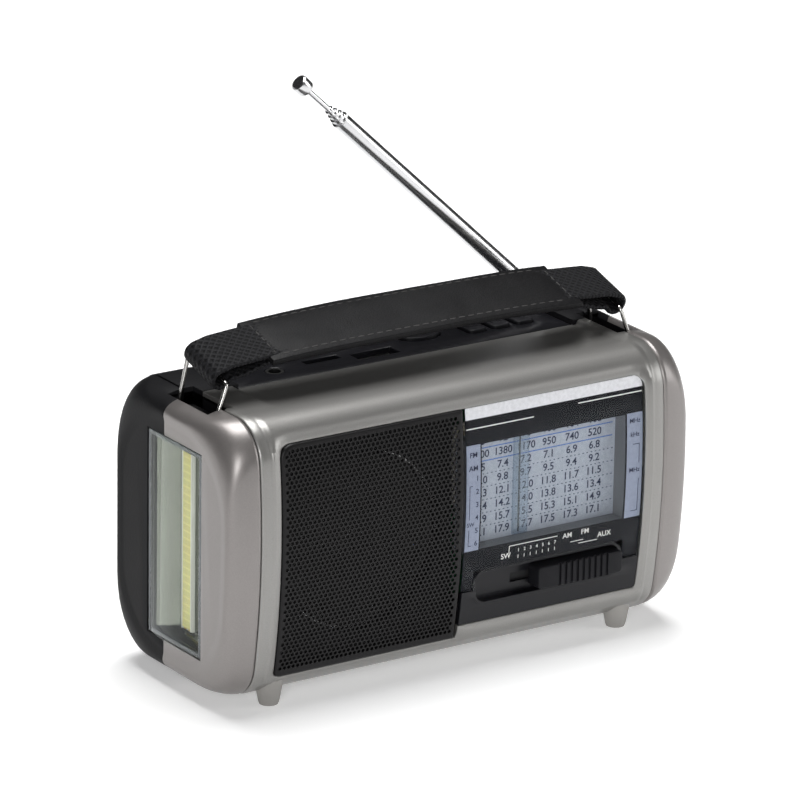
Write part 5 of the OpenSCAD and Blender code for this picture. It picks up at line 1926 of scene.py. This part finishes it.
    def stitching(self) -> Piece:
        """Builds the rows of stitches along the sleeve's edges and across its ends."""
        step = self.stitch_step
        stitches, rows = [], []
        for side in (-1, 1):
            for i in range(int((2 * self.sleeve_half - 8 * MM) / step)):
                x = -self.sleeve_half + 4 * MM + i * step
                rows.append((Vector((x, side * 0.80 * self.sleeve_width / 2, 0)),
                             Vector((self.stitch, 0, 0))))
        for side in (-1, 1):
            for i in range(int((self.sleeve_width - 5 * MM) / step)):
                y = -self.sleeve_width / 2 + 2.8 * MM + i * step
                rows.append((Vector((side * 0.955 * self.sleeve_half, y, 0)), Vector((0, self.stitch, 0))))
        half_z = self.sleeve_thick / 2
        for start, run in rows:
            middle = start + run / 2
            across = middle.y / (self.sleeve_width / 2)
            puff = (1 - abs(across) ** 3.2) * (1 - abs(middle.x / self.sleeve_half) ** 18)
            top = half_z * (0.62 + 0.38 * puff) - 0.10 * MM + self.lie(middle.x)
            slope = self.lie(start.x + run.x) - self.lie(start.x)
            direction = Vector((run.x, run.y, slope)).normalized()
            turn = Vector((0, 0, 1)).rotation_difference(direction).to_matrix().to_4x4()
            profile = [(0, -self.stitch / 2), (self.thread * 0.8, -self.stitch / 2 + 0.15 * MM),
                       (self.thread, 0),
                       (self.thread * 0.8, self.stitch / 2 - 0.15 * MM), (0, self.stitch / 2)]
            place = self.place() @ Matrix.Translation((middle.x, middle.y, top)) @ turn
            stitches.append(turned(profile, place, 6))
        return place_piece(joined(stitches), "sleeve_stitches", THREAD, "strap", smooth=80)

    def build(self) -> list[Piece]:
        """Builds the bails, the strap, the sleeve and its stitches."""
        return [self.bail(Side.LEFT), self.bail(Side.RIGHT), self.webbing(), self.sleeve(), self.stitching()]


# ---- aerial


@dataclass
class Aerial:
    """The telescopic aerial's rolled tube ends, its rod and its knob."""

    angle: float = math.radians(42.5)
    radii: tuple[float, ...] = (2.5 * MM, 2.05 * MM, 1.62 * MM, 1.22 * MM, 0.8 * MM)
    knob_r: float = 2.5 * MM
    knob_len: float = 3.8 * MM

    def place(self) -> Matrix:
        """Returns the aerial's own frame, with Z along it and its pivot at the origin."""
        low, high = box_of("aerial_pin")
        pivot = (low + high) / 2
        return Matrix.Translation(pivot) @ Matrix.Rotation(self.angle - math.pi / 2, 4, "Y")

    def reach(self, node: str) -> float:
        """Returns how far along its own line a node reaches."""
        back = self.place().inverted()
        return max((back @ v.co).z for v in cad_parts[node].data.vertices)

    def rim(self, index: int) -> Piece:
        """Builds the rolled end of one tube."""
        end = self.reach(f"aerial_tube_{index}")
        r = self.radii[index - 1]
        inner = self.radii[index] + 0.06 * MM
        profile = [(inner, -0.5 * MM), (r + 0.02 * MM, -0.5 * MM), (r + 0.09 * MM, -0.3 * MM),
                   (r + 0.07 * MM, -0.12 * MM), (r - 0.12 * MM, -0.01 * MM), (inner + 0.08 * MM, -0.01 * MM),
                   (inner, -0.08 * MM), (inner, -0.5 * MM)]
        place = self.place() @ Matrix.Translation((0, 0, end))
        return place_piece(turned(profile, place, 40), f"aerial_rim_{index}", CHROME, f"tube_{index}")

    def rod(self) -> Piece:
        """Builds the rod with its waisted, chamfered knob."""
        back = self.place().inverted()
        heights = [(back @ v.co).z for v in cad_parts["aerial_rod"].data.vertices]
        low, high = min(heights), max(heights)
        r, k = self.radii[4], self.knob_r
        root = high - self.knob_len
        profile = [(0, low), (r * 0.8, low), (r, low + 0.2 * MM), (r, root + 0.04 * MM),
                   (k - 0.45 * MM, root + 0.06 * MM), (k - 0.1 * MM, root + 0.18 * MM), (k, root + 0.45 * MM),
                   (k, high - 0.7 * MM), (k - 0.12 * MM, high - 0.3 * MM), (k - 0.55 * MM, high - 0.04 * MM),
                   (k * 0.4, high), (0, high)]
        return place_piece(turned(profile, self.place(), 40), "aerial_tip_rod", CHROME, "rod",
                           ["aerial_rod"], 28)

    def build(self) -> list[Piece]:
        """Dresses the tubes and the swivel, and builds the rims and the rod."""
        for node in ("aerial_tube_1", "aerial_tube_2", "aerial_tube_3", "aerial_tube_4", "aerial_swivel"):
            dress(node, CHROME)
        dress("aerial_pin", STEEL)
        dress("aerial_bush", INNER_BLACK)
        return [*(self.rim(i) for i in (1, 2, 3, 4)), self.rod()]


# ---- wheels and insides


@dataclass
class Thumbwheel:
    """A ribbed thumbwheel that stands for a frame node."""

    node: str
    body: str
    rounding: float = 0.25 * MM

    def build(self) -> Piece:
        """Builds the wheel with its ribs' edges rounded."""
        return place_piece(copy_of(self.node, self.rounding, 55, 1), f"{self.node}_ribbed", KEY_BLACK,
                           self.body,
                           [self.node], 35)


@dataclass
class Insides:
    """The parts inside the case, which keep their frame shapes and get their finishes."""

    finishes: tuple[tuple[str, Finish], ...] = (
        ("speaker_baffle", INNER_BLACK), ("speaker_basket", STEEL), ("speaker_cone", CONE),
        ("speaker_magnet", MAGNET), ("dial_cord", NYLON), ("cord_pulleys", IVORY), ("dial_drum", IVORY),
        ("tuning_shaft", BRASS), ("tuning_capacitor", COMPONENT), ("band_switch", STEEL),
        ("main_board", BOARD_GREEN), ("volume_control", COMPONENT), ("ferrite_rod", MAGNET),
        ("ferrite_coil", COPPER), ("battery_cell", WRAP), ("battery_contacts", BRASS),
        ("media_board", BOARD_GREEN), ("usb_socket", STEEL), ("card_socket", STEEL), ("audio_jack", JACK),
        ("button_switches", COMPONENT))

    def dust_cap(self) -> Piece:
        """Builds the speaker's domed dust cap and its rubber surround."""
        low, high = box_of("speaker_cone")
        x, z = (low.x + high.x) / 2, (low.z + high.z) / 2
        radius = (high.x - low.x) / 2
        place = facing_back((x, low.y, z))
        dome = [(0, 3.6 * MM), (3 * MM, 4.0 * MM), (6 * MM, 5.0 * MM), (8 * MM, 6.2 * MM),
                (7.6 * MM, 6.4 * MM),
                (0, 6.2 * MM)]
        surround = [(radius - 3.2 * MM, 0.35 * MM), (radius - 2.2 * MM, -0.5 * MM),
                    (radius - 1.0 * MM, -0.45 * MM),
                    (radius - 0.1 * MM, 0.3 * MM), (radius - 1.2 * MM, 0.25 * MM),
                    (radius - 3.2 * MM, 0.35 * MM)]
        return place_piece(joined([turned(dome, place, 40), turned(surround, place, 56)]), "speaker_surround",
                           CONE, HOUSING)

    def build(self) -> list[Piece]:
        """Dresses the insides and builds the speaker's front."""
        for node, finish in self.finishes:
            dress(node, finish)
        return [self.dust_cap()]


# ---- studio


@dataclass
class Studio:
    """The camera, the pale floor and the soft lights."""

    azimuth: float = math.radians(-33.97)
    elevation: float = math.radians(19.59)
    roll: float = math.radians(1.03)
    distance: float = 1.668
    lens: float = 270.0
    target: tuple[float, float, float] = (0, -1.2 * MM, 42.6 * MM)
    shift: Pair = (-0.0076, 0.121)
    glow: float = 0.3
    sky: Pair = (0.42, 0.5)

    def camera(self) -> Piece:
        """Makes the camera."""
        a, e, r = self.azimuth, self.elevation, self.roll
        back = Vector((math.sin(a) * math.cos(e), -math.cos(a) * math.cos(e), math.sin(e)))
        right = Vector((math.cos(a), math.sin(a), 0))
        up = back.cross(right)
        across = right * math.cos(r) + up * math.sin(r)
        over = up * math.cos(r) - right * math.sin(r)
        data = bpy.data.cameras.new("camera")
        data.lens = self.lens
        data.shift_x, data.shift_y = self.shift
        data.clip_start = 0.05
        camera = bpy.data.objects.new("camera", data)
        turn = Matrix((across, over, back)).transposed().to_4x4()
        camera.matrix_world = Matrix.Translation(Vector(self.target) + back * self.distance) @ turn
        show(camera)
        bpy.context.scene.camera = camera
        return camera

    def floor(self) -> Piece:
        """Makes the floor."""
        bm = bmesh.new()
        bmesh.ops.create_grid(bm, x_segments=2, y_segments=2, size=6)
        mesh = bpy.data.meshes.new("floor")
        bm.to_mesh(mesh)
        bm.free()
        s = Shader("studio_floor")
        tone = s.ramp(s.speckle(3, 2), (0.86, 0.86, 0.86), (0.88, 0.88, 0.88))
        mesh.materials.append(s.close(s.add("BsdfPrincipled", {"Base Color": tone}, Roughness=0.8,
                                            Emission_Color=(1, 1, 1, 1), Emission_Strength=self.glow)))
        floor = bpy.data.objects.new("floor", mesh)
        show(floor)
        return floor

    def light(self, name: str, place: Sequence[float], size: float, power: float) -> Piece:
        """Makes one soft light that faces the object.

        Args:
            name: the light's name.
            place: where it hangs.
            size: the side of its square.
            power: its strength in watts.

        Returns:
            The light.
        """
        data = bpy.data.lights.new(name, "AREA")
        data.size = size
        data.energy = power
        light = bpy.data.objects.new(name, data)
        light.location = place
        way = Vector(self.target) - Vector(place)
        light.rotation_euler = way.to_track_quat("-Z", "Y").to_euler()
        show(light)
        return light

    def world(self) -> None:
        """Gives the scene a plain surrounding light, paler towards the horizon."""
        world = bpy.data.worlds.new("studio_air")
        world.use_nodes = True
        tree = world.node_tree
        air = tree.nodes["Background"]
        place = tree.nodes.new("ShaderNodeTexCoord")
        split = tree.nodes.new("ShaderNodeSeparateXYZ")
        rise = tree.nodes.new("ShaderNodeMapRange")
        rise.inputs["From Min"].default_value = 0.1
        rise.inputs["From Max"].default_value = 0.9
        rise.inputs["To Min"].default_value = self.sky[1]
        rise.inputs["To Max"].default_value = self.sky[0]
        tree.links.new(place.outputs["Generated"], split.inputs[0])
        tree.links.new(split.outputs["Z"], rise.inputs["Value"])
        tree.links.new(rise.outputs[0], air.inputs["Strength"])
        bpy.context.scene.world = world
        bpy.context.scene.view_settings.view_transform = "Standard"

    def build(self) -> None:
        """Sets the whole studio."""
        self.camera()
        self.floor()
        self.world()
        self.light("front_softbox", (-1.5, -1.9, 0.9), 0.9, 26)
        self.light("right_fill", (1.6, -1.1, 0.6), 1.0, 12)
        self.light("top_panel_light", (0.1, 0.3, 1.7), 1.0, 34)
        log.info("studio set")


def main() -> None:
    """Builds the studio and the radio, piece by piece."""
    logging.basicConfig(level=logging.INFO, format="%(name)s: %(message)s")
    Studio().build()
    sections = (FrontCabinet(), EndCap(Side.LEFT), EndCap(Side.RIGHT), Back(), Grille(), Dial(), LowerPanel(),
                TopPanel(), Lamp(), Handle(), Aerial(), Thumbwheel("tuning_wheel", "tuning"),
                Thumbwheel("volume_wheel", "volume"), Insides())
    for section in sections:
        made = section.build()
        count = len(made) if isinstance(made, list) else 1
        log.info("%s done, %d pieces", type(section).__name__, count)


if __name__ == "__main__":
    main()
